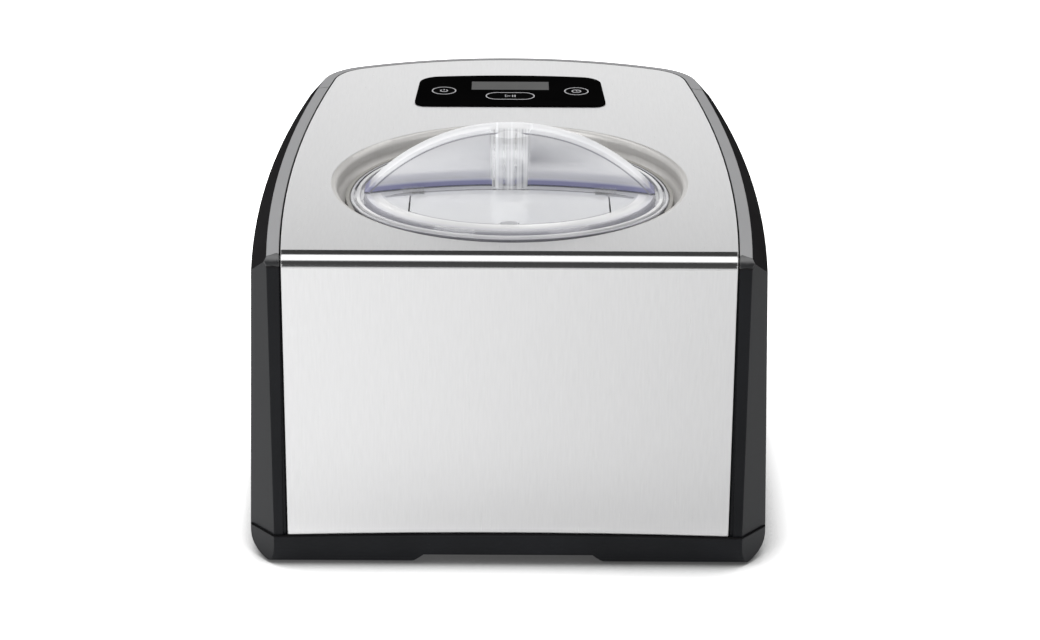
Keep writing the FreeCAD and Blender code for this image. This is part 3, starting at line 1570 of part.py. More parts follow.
def main():
    """Build every piece and write it."""
    os.makedirs("parts", exist_ok=True)
    right, left, rear = covers()
    pieces = {
        "base_tray": base_tray(),
        "rubber_feet": rubber_feet(),
        "foot_screws": foot_screws(),
        "steel_cover": steel_cover(),
        "right_side_cover": right,
        "left_side_cover": left,
        "rear_cover": rear,
        "control_overlay": control_overlay(),
        "display_window": display_window(),
        "display_module": display_module(),
        "key_pads": key_pads(),
        "control_board": control_board(),
        "well_collar": well_collar(),
        "well": well(),
        "evaporator": evaporator(),
        "insulation": insulation(),
        "chassis_plate": chassis_plate(),
        "plate_screws": plate_screws(),
        "gearbox_housing": gearbox_housing(),
        "gearbox_screws": gearbox_screws(),
        "mixing_motor": mixing_motor(),
        "motor_pinion": motor_pinion(),
        "intermediate_gear": intermediate_gear(),
        "intermediate_axle": intermediate_axle(),
        "output_gear": output_gear(),
        "drive_shaft": drive_shaft(),
        "shaft_bush": shaft_bush(),
        "shaft_seal": shaft_seal(),
        "bowl": bowl(),
        "paddle": paddle(),
        "lid": lid(),
        "lid_hub": lid_hub(),
        "ingredient_flap": ingredient_flap(),
        "flap_pins": flap_pins(),
        "compressor": compressor(),
        "compressor_grommets": compressor_grommets(),
        "compressor_studs": compressor_studs(),
        "terminal_cover": terminal_cover(),
        "condenser": condenser(),
        "fan_shroud": fan_shroud(),
        "fan_motor": fan_motor(),
        "fan": fan(),
        "filter_drier": filter_drier(),
        "refrigerant_pipes": refrigerant_pipes(),
        "power_board": power_board(),
        "terminal_block": terminal_block(),
        "cord_gland": cord_gland(),
    }
    for name in KEY_NAMES:
        pieces[name + "_key"] = key_cap(name)
    for name, shape in pieces.items():
        save(name, shape)


if __name__ == "__main__":
    main()
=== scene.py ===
"""Looks of the ice cream maker: materials, key marks, studio and camera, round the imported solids."""
import bpy
import bmesh
import json
import math
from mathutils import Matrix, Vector


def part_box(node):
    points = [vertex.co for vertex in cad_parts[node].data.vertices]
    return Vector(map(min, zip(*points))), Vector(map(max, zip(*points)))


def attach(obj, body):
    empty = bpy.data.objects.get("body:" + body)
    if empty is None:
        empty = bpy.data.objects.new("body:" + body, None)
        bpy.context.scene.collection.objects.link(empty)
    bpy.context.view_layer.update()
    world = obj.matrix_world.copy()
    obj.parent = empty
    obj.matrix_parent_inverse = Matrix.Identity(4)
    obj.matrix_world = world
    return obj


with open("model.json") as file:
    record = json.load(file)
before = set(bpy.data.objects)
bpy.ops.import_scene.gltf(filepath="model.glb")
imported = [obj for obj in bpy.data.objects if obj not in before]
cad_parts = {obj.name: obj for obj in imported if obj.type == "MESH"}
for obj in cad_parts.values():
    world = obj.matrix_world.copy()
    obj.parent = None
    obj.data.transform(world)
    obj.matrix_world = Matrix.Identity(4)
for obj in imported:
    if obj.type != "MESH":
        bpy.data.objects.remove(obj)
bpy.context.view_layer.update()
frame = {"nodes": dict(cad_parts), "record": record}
nodes = frame["nodes"]

# Places and sizes taken from the frame, in metres
bowl_low, bowl_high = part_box("bowl")
axis_y = (bowl_low.y + bowl_high.y) / 2
lid_low, lid_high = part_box("lid")
top_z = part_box("steel_cover")[1].z
pins_low, pins_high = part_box("flap_pins")
hinge = (pins_low + pins_high) / 2

# Sizes of the steel's and the covers' finish, in metres
DISH_EDGE = 0.014
FLAT_GAP = 0.00001
LAND_DEPTH = 0.0022
STEEL_EDGE = 0.0012
COVER_EDGE = 0.001

# Which way a face looks: share of its normal that points up (least and most), or to the front
STEEL_BEND_UP = (0.04, 0.9995)
COVER_BEND_UP = (0.5, 0.995)
COVER_BEND_FRONT = -0.12
LAND_UP = 0.985
SLOPE_UP = 0.2

# Lid, in metres: domed plate, handle (fin) with its arch and foot, column, hub and hinges
PLATE_RISE = 0.0068
PLATE_DOME = 0.006
PLATE_RADIUS = 0.0915
SOFT_EDGE = 0.0004
FIN_REACH = 0.0093
FIN_BAND = 0.0062
FIN_LINE = 0.0014
FOOT_FULL_SHARE = 0.6
ARCH_RADIUS = 0.1208
ARCH_ROUND = 0.0026
ARCH_LINE = 0.0007
ARCH_WALL_START = 0.0016
ARCH_WALL_FULL = 0.0010
COLUMN_REACH = 0.0152
COLUMN_EDGE = 0.0005
HUB_START = 0.025
HUB_END = 0.03
HINGE_REACH = 0.0034
HINGE_START = 0.0535
# Painted shade in the handle's walls: heights where it rises and falls, and its reach from the column
PAINTED_SHADE_RISE = (0.008, 0.017)
PAINTED_SHADE_FALL = (0.019, 0.034)
PAINTED_SHADE_REACH = 0.070

# Lid: shades, and the milkiness (opacity) and strength of what is drawn in the clear plastic; the tint and
# dark line at the handle's foot, the arch's dark line and the dark patch are painted refraction and painted
# shade
CLEAR_SHADES = ((0.90, 0.91, 0.94), (0.95, 0.955, 0.97))
# Violet tint and dark line at the handle's foot: painted refraction
FOOT_PAINTED_REFRACTION = (0.25, 0.255, 0.43)
FOOT_PAINTED_REFRACTION_MILK = 0.35
FOOT_PAINTED_LINE_COLOUR = (0.03, 0.03, 0.05)
# Dark line along the handle's arch: painted shade in place of refraction
ARCH_PAINTED_LINE_COLOUR = (0.22, 0.22, 0.25)
ARCH_PAINTED_LINE_MILK = 0.3
PAINTED_SHADE_COLOUR = (0.27, 0.27, 0.30)
PAINTED_SHADE_STRENGTH = 0.8
PAINTED_SHADE_LEFT = 0.4
PAINTED_SHADE_MILK = 0.35
HUB_MILK = 0.65
# Column's upright white streaks: painted highlights
COLUMN_HIGHLIGHT_MILK = (0.15, 0.7)
PATCH_LEAST = 0.62
RING_FADE = 0.3
# Lid: how far a face is turned aside as the plastic goes from clear to milky, and as the plate is clearer
FACING_BLEND = 0.4
MILK_FACING = (0.15, 0.95)
PLATE_FACING = (0.1, 0.45)
PLATE_CLEARER = 0.2

# Roughness: how far it runs below and above a plastic's or a metal's own, and the clear plastic's range
PLASTIC_SPREAD = (-0.04, 0.05)
METAL_SPREAD = (-0.06, 0.08)
CLEAR_ROUGH = (0.03, 0.08)

# Noise: share of its range that the shades run over, and its scales along X, Y and Z, per metre
NOISE_RANGE = (0.25, 0.75)
STREAK_RANGE = (0.35, 0.65)
FINE_LINES = (2600.0, 22.0, 22.0)
BROAD_LINES = (900.0, 75.0, 75.0)
GLOSS_PATCHES = (18.0, 18.0, 18.0)
PLASTIC_FLOW = (30.0, 30.0, 60.0)
RING_PATCHES = (14.0, 14.0, 0.0)
COLUMN_HIGHLIGHT_STREAKS = (330.0, 0.0, 4.0)
FLOOR_PATCHES = (3.0, 3.0, 3.0)
QUARTER_TURN = 0.25

# Printed key marks, in metres, and the straight steps of a half round
MARK_INSET = 0.0021
MARK_LINE = 0.0008
MARK_HEIGHT = 0.00012
MARK_SINK = 0.00005
HALF_ROUND_STEPS = 24

# Floor: reach of it, of the painted contact shadow and of the glow, in metres, and the glow at each side and
# behind; the glow is painted light, stronger to the left than to the right
FLOOR_REACH = 8.0
FLOOR_SHADES = ((0.87, 0.87, 0.87), (0.89, 0.89, 0.89))
SHADOW_REACH = 0.036
SHADOW_SHADE = (0.05, 0.05, 0.05)
SHADOW_FULL = 0.35
SHADOW_LEAST_LIGHT = 0.06
GLOW_REACH = 0.16
GLOW_LEFT = 0.70
GLOW_RIGHT = 0.23
GLOW_FRONT = -0.22
GLOW_FADE = 0.05
GLOW_BEHIND = 0.7

# Brightness of the room from the front horizon (0) over the top (0.5) to the rear horizon (1)
ROOM = [(0.0, 1.2), (0.14, 1.2), (0.165, 0.10), (0.555, 0.10), (0.60, 2.2), (0.74, 2.2), (0.765, 0.08),
        (0.866, 0.08), (0.882, 1.45), (1.0, 1.42)]
# Brightness of the room at both sides, and how far aside it starts and is full
SIDE_LEVEL = 1.1
SIDE_START = 0.55
SIDE_END = 0.70

# Lights: place, side in metres and power in watts, all aimed at one point
LIGHTS = {"key": ((-1.7, -1.6, 2.0), 1.6, 36.0), "fill": ((1.7, -1.4, 1.8), 1.4, 13.0)}
LIGHT_TARGET = (0, -0.2, 0.0)

# Photograph and camera
IMAGE_WIDTH = 1040
FOCAL_PIXELS = 2876.0
AXIS_PIXEL_X = 509.1
CAMERA_Y = -1.799
CAMERA_Z = 0.808
CAMERA_PITCH = 22.1
CAMERA_ROLL = 0.28
SENSOR = 36.0


def new_material(name):
    """Material with an empty principled shader; returns the material, its tree and the shader node."""
    material = bpy.data.materials.new(name)
    material.use_nodes = True
    tree = material.node_tree
    return material, tree, tree.nodes["Principled BSDF"]


def add(tree, kind, **settings):
    """New node with its settings."""
    node = tree.nodes.new(kind)
    for key, value in settings.items():
        setattr(node, key, value)
    return node


def maths(tree, operation, first, second=0.0):
    """One operation on two values, each a number or a node's output."""
    node = add(tree, "ShaderNodeMath", operation=operation)
    for socket, value in zip(node.inputs, (first, second)):
        if isinstance(value, (int, float)):
            socket.default_value = value
        else:
            tree.links.new(value, socket)
    return node.outputs[0]


def product(tree, first, *others):
    """Product of two or more values, each a number or a node's output."""
    for other in others:
        first = maths(tree, "MULTIPLY", first, other)
    return first


def length(tree, first, second):
    """Length of the long side of a right-angled triangle."""
    squares = maths(tree, "ADD", product(tree, first, first), product(tree, second, second))
    return maths(tree, "SQRT", squares)


def place_on(tree, axes, kind="Object"):
    """Places along some of the axes, of a point on the object or of a direction in the room."""
    place = add(tree, "ShaderNodeTexCoord")
    parts = add(tree, "ShaderNodeSeparateXYZ")
    tree.links.new(place.outputs[kind], parts.inputs["Vector"])
    return [parts.outputs[axis] for axis in axes]


def aside_of_axis(tree):
    """How far aside of the bowl's upright axis a point is, along Y."""
    y = place_on(tree, "Y")[0]
    return maths(tree, "ABSOLUTE", maths(tree, "SUBTRACT", y, axis_y))


def from_axis(tree):
    """Distance from the bowl's upright axis."""
    x = place_on(tree, "X")[0]
    return length(tree, x, aside_of_axis(tree))


def stretched_noise(tree, scale, detail, roughness=0.6):
    """Noise over the object's own coordinates, stretched by a scale along each axis."""
    place = add(tree, "ShaderNodeTexCoord")
    mapping = add(tree, "ShaderNodeMapping")
    mapping.inputs["Scale"].default_value = scale
    noise = add(tree, "ShaderNodeTexNoise")
    noise.inputs["Scale"].default_value = 1.0
    noise.inputs["Detail"].default_value = detail
    noise.inputs["Roughness"].default_value = roughness
    tree.links.new(place.outputs["Object"], mapping.inputs["Vector"])
    tree.links.new(mapping.outputs["Vector"], noise.inputs["Vector"])
    return noise.outputs["Fac"]


def ranged(tree, value, start, end, low, high):
    """Value that runs from low to high as another goes from start to end."""
    node = add(tree, "ShaderNodeMapRange")
    node.inputs["From Min"].default_value = start
    node.inputs["From Max"].default_value = end
    node.inputs["To Min"].default_value = low
    node.inputs["To Max"].default_value = high
    tree.links.new(value, node.inputs["Value"])
    return node.outputs["Result"]


def colour_ramp(tree, value, stops):
    """Colour and alpha that run through a list of places and colours as a value goes from 0 to 1."""
    ramp = add(tree, "ShaderNodeValToRGB")
    elements = ramp.color_ramp.elements
    while len(elements) < len(stops):
        elements.new(0.5)
    for element, (place, colour) in zip(elements, stops):
        element.position = place
        element.color = colour
    tree.links.new(value, ramp.inputs["Fac"])
    return ramp.outputs["Color"], ramp.outputs["Alpha"]


def two_colours(tree, value, first, second):
    """Colour that runs between two over the noise's range."""
    low, high = NOISE_RANGE
    return colour_ramp(tree, value, [(low, (*first, 1.0)), (high, (*second, 1.0))])[0]


def mixed(tree, share, first, second):
    """Colour of a node, turned by a share to a second one, which is a fixed colour or a node's output."""
    node = add(tree, "ShaderNodeMix", data_type="RGBA")
    tree.links.new(share, node.inputs["Factor"])
    tree.links.new(first, node.inputs["A"])
    if isinstance(second, tuple):
        node.inputs["B"].default_value = (*second, 1.0)
    else:
        tree.links.new(second, node.inputs["B"])
    return node.outputs["Result"]


def relief(tree, shader, height, strength, distance, edge=0.0):
    """Small relief from a height value, over edges that are softened by a radius."""
    node = add(tree, "ShaderNodeBump")
    node.inputs["Strength"].default_value = strength
    node.inputs["Distance"].default_value = distance
    tree.links.new(height, node.inputs["Height"])
    if edge:
        soft = add(tree, "ShaderNodeBevel", samples=4)
        soft.inputs["Radius"].default_value = edge
        tree.links.new(soft.outputs["Normal"], node.inputs["Normal"])
    tree.links.new(node.outputs["Normal"], shader.inputs["Normal"])


def patchy_roughness(tree, shader, noise, low, high):
    """Roughness of a shader that runs between two values over the noise's range."""
    tree.links.new(ranged(tree, noise, *NOISE_RANGE, low, high), shader.inputs["Roughness"])


def brushed_steel(name, shades, rough, metallic, stretch, axis):
    """Brushed steel: close shades, fine lines, softened edges, and highlights drawn out about an axis."""
    material, tree, shader = new_material(name)
    fine = stretched_noise(tree, FINE_LINES, detail=3.0)
    broad = stretched_noise(tree, BROAD_LINES, detail=5.0)
    tree.links.new(two_colours(tree, broad, *shades), shader.inputs["Base Color"])
    patchy_roughness(tree, shader, fine, *rough)
    shader.inputs["Metallic"].default_value = metallic
    shader.inputs["Anisotropic"].default_value = stretch
    shader.inputs["Anisotropic Rotation"].default_value = QUARTER_TURN
    along = add(tree, "ShaderNodeTangent", direction_type="RADIAL", axis=axis)
    tree.links.new(along.outputs["Tangent"], shader.inputs["Tangent"])
    relief(tree, shader, fine, strength=0.05, distance=0.0002, edge=STEEL_EDGE)
    return material


def plastic(name, first, second, rough, grain_scale, grain, gloss=0.5, edge=0.0):
    """Moulded plastic: two close shades, a fine grain, patchy gloss and perhaps softened edges."""
    material, tree, shader = new_material(name)
    patches = stretched_noise(tree, GLOSS_PATCHES, detail=3.0)
    grains = stretched_noise(tree, (grain_scale,) * 3, detail=2.0)
    tree.links.new(two_colours(tree, patches, first, second), shader.inputs["Base Color"])
    patchy_roughness(tree, shader, patches, *(rough + step for step in PLASTIC_SPREAD))
    shader.inputs["Specular IOR Level"].default_value = gloss
    relief(tree, shader, grains, strength=grain, distance=0.0003, edge=edge)
    return material


def cover_plastic(name, gloss, first=(0.004, 0.0044, 0.0052), second=(0.007, 0.0075, 0.009)):
    """Satin plastic of the covers, black unless another pair of shades is given."""
    return plastic(name, first, second, rough=0.32, grain_scale=2200.0, grain=0.05,
                   gloss=gloss, edge=COVER_EDGE)


def metal(name, first, second, rough, scale):
    """Bare or plated metal with drawn marks."""
    material, tree, shader = new_material(name)
    marks = stretched_noise(tree, scale, detail=4.0)
    shader.inputs["Metallic"].default_value = 1.0
    tree.links.new(two_colours(tree, marks, first, second), shader.inputs["Base Color"])
    patchy_roughness(tree, shader, marks, *(rough + step for step in METAL_SPREAD))
    relief(tree, shader, marks, strength=0.05, distance=0.0002)
    return material


def fin_share(tree):
    """Share that is 1 within the thickness of the lid's handle and 0 elsewhere."""
    return ranged(tree, aside_of_axis(tree), FIN_REACH - SOFT_EDGE, FIN_REACH, 1.0, 0.0)


def beside_fin(tree):
    """Share that is 0 within the thickness of the lid's handle and 1 elsewhere."""
    return maths(tree, "SUBTRACT", 1.0, fin_share(tree))


def fin_height(tree):
    """Height over the lid's domed plate, along the handle."""
    x, z = place_on(tree, "XZ")
    drop = product(tree, x, x, PLATE_DOME / PLATE_RADIUS ** 2)
    return maths(tree, "ADD", maths(tree, "SUBTRACT", z, lid_low.z + PLATE_RISE + PLATE_DOME), drop)


def fin_foot(tree, depth):
    """Share that falls from 1 at the foot of the lid's handle to 0 over a depth."""
    height = fin_height(tree)
    over_plate = ranged(tree, height, 0.0, SOFT_EDGE, 0.0, 1.0)
    band = ranged(tree, height, depth * FOOT_FULL_SHARE, depth, 1.0, 0.0)
    return product(tree, band, over_plate, fin_share(tree))


def fin_painted_shade(tree):
    """Share of the painted shade in the handle's walls, a soft dark patch in place of the dark recess seen
    through the plastic, strongest beside the column and to the right.
    """
    x = place_on(tree, "X")[0]
    height = fin_height(tree)
    rise = ranged(tree, height, *PAINTED_SHADE_RISE, 0.0, 1.0)
    fall = ranged(tree, height, *PAINTED_SHADE_FALL, 1.0, 0.0)
    beside = ranged(tree, maths(tree, "ABSOLUTE", x), COLUMN_REACH, PAINTED_SHADE_REACH, 1.0, 0.0)
    side = ranged(tree, x, -COLUMN_REACH, COLUMN_REACH, PAINTED_SHADE_LEFT, 1.0)
    return product(tree, rise, fall, beside, side, fin_share(tree))


def arch_painted_line(tree):
    """Share of the thin painted dark line, in place of refraction, where the handle's rounded edge meets its
    walls.
    """
    x, z = place_on(tree, "XZ")
    up = maths(tree, "SUBTRACT", z, lid_high.z - ARCH_RADIUS)
    depth = maths(tree, "SUBTRACT", ARCH_RADIUS, length(tree, x, up))
    off = maths(tree, "ABSOLUTE", maths(tree, "SUBTRACT", depth, ARCH_ROUND))
    line = ranged(tree, off, ARCH_LINE / 2, ARCH_LINE, 1.0, 0.0)
    wall_start = FIN_REACH - ARCH_WALL_START
    wall_full = FIN_REACH - ARCH_WALL_FULL
    wall = ranged(tree, aside_of_axis(tree), wall_start, wall_full, 0.0, 1.0)
    return product(tree, line, wall, fin_share(tree))


# Painted rings of the lid, from the flap's edge outwards: radius in metres, shade, and how milky the ring
# is; the white rings are painted highlights and the dark ones painted shade, in place of refraction in the
# steps
PAINTED_RINGS = [
    (0.0800, (0.93, 0.94, 0.97), 0.0),
    (0.0825, (1.0, 1.0, 1.0), 0.85),
    (0.0870, (1.0, 1.0, 1.0), 0.70),
    (0.0912, (0.80, 0.80, 0.88), 0.30),
    (0.0925, (0.34, 0.34, 0.39), 0.50),
    (0.0950, (0.48, 0.48, 0.54), 0.42),
    (0.0958, (1.0, 1.0, 1.0), 0.65),
    (0.0980, (1.0, 1.0, 1.0), 0.60),
    (0.0986, (0.10, 0.10, 0.13), 0.65),
    (0.0994, (0.10, 0.10, 0.13), 0.60),
    (0.0999, (0.85, 0.85, 0.88), 0.55),
    (0.1010, (0.80, 0.80, 0.84), 0.55),
    (0.1015, (0.12, 0.12, 0.14), 0.75),
]


def lid_painted_rings(tree):
    """Painted highlights and dark lines, with their milkiness, on the stepped rings round the lid's plate.
    """
    first = PAINTED_RINGS[0][0]
    reach = PAINTED_RINGS[-1][0] - first
    stops = [((radius - first) / reach, (*shade, milk)) for radius, shade, milk in PAINTED_RINGS]
    across = ranged(tree, from_axis(tree), first, first + reach, 0.0, 1.0)
    shade, milk = colour_ramp(tree, across, stops)
    patches = ranged(tree, stretched_noise(tree, RING_PATCHES, detail=1.0), *STREAK_RANGE, PATCH_LEAST, 1.0)
    return shade, product(tree, milk, patches, beside_fin(tree))


def column_painted_highlights(tree):
    """Milkiness of the round column in the handle: upright white streaks that are painted highlights."""
    column = ranged(tree, from_axis(tree), COLUMN_REACH - COLUMN_EDGE, COLUMN_REACH, 1.0, 0.0)
    streaks = stretched_noise(tree, COLUMN_HIGHLIGHT_STREAKS, detail=1.0)
    return product(tree, column, ranged(tree, streaks, *STREAK_RANGE, *COLUMN_HIGHLIGHT_MILK))


def lid_looks(tree, facing, colour, milk):
    """Colour and milkiness of the lid: plate, and the painted highlights and shades of the rings, column,
    the handle's foot, its dark patch and arch line.
    """
    clearer = ranged(tree, facing, *PLATE_FACING, PLATE_CLEARER, 0.0)
    milk = maths(tree, "SUBTRACT", milk, product(tree, clearer, beside_fin(tree)))
    shade, painted_ring_milk = lid_painted_rings(tree)
    painted_tint = fin_foot(tree, FIN_BAND)
    painted_shade = fin_painted_shade(tree)
    arch = arch_painted_line(tree)
    # Painted shades and highlights in place of refraction: ring lines, dark patch, tint and dark line at the
    # foot, dark arch line
    colour = mixed(tree, ranged(tree, painted_ring_milk, 0.0, RING_FADE, 0.0, 1.0), colour, shade)
    colour = mixed(tree, product(tree, painted_shade, PAINTED_SHADE_STRENGTH), colour, PAINTED_SHADE_COLOUR)
    colour = mixed(tree, painted_tint, colour, FOOT_PAINTED_REFRACTION)
    colour = mixed(tree, fin_foot(tree, FIN_LINE), colour, FOOT_PAINTED_LINE_COLOUR)
    colour = mixed(tree, arch, colour, ARCH_PAINTED_LINE_COLOUR)
    milk = maths(tree, "MAXIMUM", maths(tree, "MAXIMUM", milk, painted_ring_milk), column_painted_highlights(tree))
    for share, extra in ((painted_tint, FOOT_PAINTED_REFRACTION_MILK), (arch, ARCH_PAINTED_LINE_MILK), (painted_shade, PAINTED_SHADE_MILK)):
        milk = maths(tree, "ADD", milk, product(tree, share, extra))
    return colour, milk


def clear_plastic(name, face_on, edge_on, of_lid):
    """Clear plastic: see-through face on, milky edge on, with the lid's painted highlights and shades or the
    hub's milk.
    """
    material, tree, shader = new_material(name)
    flow = stretched_noise(tree, PLASTIC_FLOW, detail=2.0)
    weight = add(tree, "ShaderNodeLayerWeight")
    weight.inputs["Blend"].default_value = FACING_BLEND
    facing = weight.outputs["Facing"]
    colour = two_colours(tree, flow, *CLEAR_SHADES)
    milk = ranged(tree, facing, *MILK_FACING, face_on, edge_on)
    if of_lid:
        colour, milk = lid_looks(tree, facing, colour, milk)
    else:
        hub = ranged(tree, from_axis(tree), HUB_START, HUB_END, HUB_MILK, 0.0)
        milk = maths(tree, "MAXIMUM", milk, hub)
    tree.links.new(colour, shader.inputs["Base Color"])
    tree.links.new(milk, shader.inputs["Alpha"])
    patchy_roughness(tree, shader, flow, *CLEAR_ROUGH)
    shader.inputs["Specular IOR Level"].default_value = 0.9
    relief(tree, shader, flow, strength=0.02, distance=0.0005)
    return material


# Steel: two shades, range of roughness, share of metal, stretch of the highlights and the axis they go about
SHEET_SHADES = ((0.475, 0.475, 0.478), (0.510, 0.510, 0.513))
DISH_SHADES = ((0.505, 0.495, 0.48), (0.535, 0.525, 0.51))
STEELS = {
    "brushed_steel": (SHEET_SHADES, (0.27, 0.32), 1.0, 0.85, "X"),
    "steel_bend": (SHEET_SHADES, (0.09, 0.14), 1.0, 0.85, "X"),
    "steel_dish": (DISH_SHADES, (0.40, 0.45), 0.55, 0.8, "Z"),
}
# Plastic of the covers: gloss, and perhaps two shades; the flat border's grey is a painted reflection, and
# the upward slopes are matte and a little lighter as painted shade
COVERS = {
    "black_plastic": (0.09,),
    # Upward slopes: matte and a little lighter than the walls, as painted shade
    "black_slope": (0.0, (0.011, 0.0105, 0.011), (0.015, 0.0145, 0.015)),
    "black_bend": (1.0,),
    "black_land": (0.0, (0.29, 0.29, 0.295), (0.31, 0.31, 0.315)),
}
# Clear plastic: milkiness face on and edge on, and whether it is the lid's
CLEARS = {
    "clear_plastic": (0.30, 0.68, True),
    "hub_clear": (0.03, 0.15, False),
}
# Other plastic: two shades, roughness, scale and strength of the grain, and perhaps the gloss
PLASTICS = {
    "panel_black": ((0.0015,) * 3, (0.0025,) * 3, 0.3, 600.0, 0.01, 0.0),
    "display_grey": ((0.105,) * 3, (0.12,) * 3, 0.3, 900.0, 0.01, 0.0),
    "key_black": ((0.002,) * 3, (0.003,) * 3, 0.3, 900.0, 0.01, 0.0),
    "key_print": ((0.40, 0.40, 0.41), (0.46, 0.46, 0.47), 0.6, 900.0, 0.02, 0.1),
    "feet_rubber": ((0.012,) * 3, (0.022,) * 3, 0.75, 1500.0, 0.2),
    "foam": ((0.72, 0.62, 0.36), (0.84, 0.76, 0.50), 0.9, 500.0, 0.6),
    "compressor_black": ((0.010, 0.010, 0.011), (0.018, 0.018, 0.019), 0.38, 700.0, 0.1),
    "board_green": ((0.015, 0.09, 0.04), (0.03, 0.13, 0.06), 0.4, 900.0, 0.1),
    "gear_nylon": ((0.78, 0.77, 0.70), (0.86, 0.85, 0.79), 0.45, 900.0, 0.05),
    "paddle_plastic": ((0.80, 0.81, 0.82), (0.88, 0.89, 0.90), 0.35, 1200.0, 0.05),
    "inner_plastic": ((0.10, 0.10, 0.105), (0.15, 0.15, 0.155), 0.5, 1500.0, 0.1),
    "collar_grey": ((0.30, 0.29, 0.27), (0.36, 0.35, 0.33), 0.4, 1500.0, 0.05, 0.2),
}
# Metal: two shades, roughness, and scale of the drawn marks along X, Y and Z
METALS = {
    "bowl_aluminium": ((0.38, 0.38, 0.386), (0.46, 0.46, 0.465), 0.34, (60.0, 60.0, 1800.0)),
    "copper": ((0.62, 0.28, 0.16), (0.78, 0.42, 0.26), 0.28, (90.0, 90.0, 90.0)),
    "zinc_steel": ((0.52, 0.53, 0.55), (0.66, 0.67, 0.69), 0.34, (160.0, 160.0, 160.0)),
    "bush_brass": ((0.62, 0.46, 0.18), (0.76, 0.58, 0.26), 0.3, (40.0, 40.0, 1500.0)),
    "fin_aluminium": ((0.62, 0.63, 0.64), (0.74, 0.75, 0.76), 0.36, (200.0, 30.0, 200.0)),
}
MATERIALS = {}
for make, finishes in ((brushed_steel, STEELS), (cover_plastic, COVERS), (clear_plastic, CLEARS),
                       (plastic, PLASTICS), (metal, METALS)):
    for finish, values in finishes.items():
        MATERIALS[finish] = make(finish, *values)


def steel_face(centre, normal):
    """Finish of one face of the steel: dish round the lid, bend over the front edge, or brushed sheet."""
    radius = math.hypot(centre.x, centre.y - axis_y)
    if radius < lid_high.x + DISH_EDGE and centre.z < top_z - FLAT_GAP:
        return "steel_dish"
    least, most = STEEL_BEND_UP
    if normal.y < 0 and least < normal.z < most:
        return "steel_bend"
    return "brushed_steel"


def cover_face(centre, normal):
    """Finish of one face of a black cover: flat border with a painted grey reflection, bend over the front
    edge, slope with painted shade, or wall.
    """
    if normal.z > LAND_UP and centre.z > top_z - LAND_DEPTH:
        return "black_land"
    least, most = COVER_BEND_UP
    if normal.y < COVER_BEND_FRONT and least < normal.z < most:
        return "black_bend"
    if normal.z > SLOPE_UP:
        return "black_slope"
    return "black_plastic"


def lid_face(centre, normal):
    """Finish of one face of the lid or its flap: clearer at the small hinges than elsewhere."""
    off = centre - hinge
    if abs(off.x) > HINGE_START and max(abs(off.y), abs(off.z)) < HINGE_REACH:
        return "hub_clear"
    return "clear_plastic"


FACE_FINISH = {"brushed_steel": steel_face, "black_plastic": cover_face, "clear_plastic": lid_face}


def finish_nodes():
    """Give every solid the finish of its slot, face by face where the slot has more than one."""
    for part in frame["record"]["subparts"]:
        mesh = nodes[part["node"]].data
        mesh.materials.clear()
        slot = part["material_slot"]
        if slot not in FACE_FINISH:
            mesh.materials.append(MATERIALS[slot])
            continue
        names = [FACE_FINISH[slot](face.center, face.normal) for face in mesh.polygons]
        used = sorted(set(names))
        for name in used:
            mesh.materials.append(MATERIALS[name])
        mesh.polygons.foreach_set("material_index", [used.index(name) for name in names])


def ribbon(form, points, z, closed):
    """Flat printed line along points, with a little thickness."""
    count = len(points)
    sides = []
    for index, point in enumerate(points):
        before = points[index - 1] if closed or index else point
        after = points[(index + 1) % count] if closed or index + 1 < count else point
        run = (after - before).normalized()
        across = Vector((-run.y, run.x)) * (MARK_LINE / 2)
        low = z - MARK_HEIGHT
        corners = []
        for spot, height in ((point + across, z), (point - across, z),
                             (point - across, low), (point + across, low)):
            corners.append(form.verts.new((spot.x, spot.y, height)))
        sides.append(corners)
    for index in range(count if closed else count - 1):
        first = sides[index]
        second = sides[(index + 1) % count]
        for corner in range(4):
            other = (corner + 1) % 4
            form.faces.new((first[corner], first[other], second[other], second[corner]))
    if not closed:
        form.faces.new(sides[0])
        form.faces.new(reversed(sides[-1]))


def arc(centre, radius, start, end, steps):
    """Points of an arc, in degrees from the right and anticlockwise."""
    angles = [math.radians(start + (end - start) * step / steps) for step in range(steps + 1)]
    return [centre + Vector((math.cos(angle), math.sin(angle))) * radius for angle in angles]


def long_ring(centre, half_length, half_width):
    """Points of a line round a key: two half rounds joined by straight runs."""
    shift = Vector((half_length - half_width, 0))
    right = arc(centre + shift, half_width, start=-90, end=90, steps=HALF_ROUND_STEPS)
    left = arc(centre - shift, half_width, start=90, end=270, steps=HALF_ROUND_STEPS)
    return right + left


def power_mark(form, centre, size, z):
    """Open ring with a bar at the top."""
    bar_low = centre + Vector((0, 0.3 * size))
    bar_high = centre + Vector((0, 1.3 * size))
    ribbon(form, arc(centre, size, start=125, end=415, steps=28), z, closed=False)
    ribbon(form, [bar_low, bar_high], z, closed=False)


def run_mark(form, centre, size, z):
    """Triangle and two bars: start and pause."""
    low = centre + Vector((-1.6 * size, -size))
    high = centre + Vector((-1.6 * size, size))
    ribbon(form, [centre, high, low], z, closed=True)
    for shift in (0.8, 1.6):
        foot = centre + Vector((shift * size, -size))
        ribbon(form, [foot, foot + Vector((0, 2 * size))], z, closed=False)


def clock_mark(form, centre, size, z):
    """Ring with two hands."""
    hand_up = centre + Vector((0, 0.6 * size))
    hand_right = centre + Vector((0.5 * size, 0))
    ribbon(form, arc(centre, size, start=0, end=345, steps=23), z, closed=True)
    ribbon(form, [hand_up, centre, hand_right], z, closed=False)


# Sign on each key, and its size in metres
KEY_SIGNS = {
    "left_key": (power_mark, 0.0024),
    "middle_key": (run_mark, 0.0021),
    "right_key": (clock_mark, 0.0030),
}


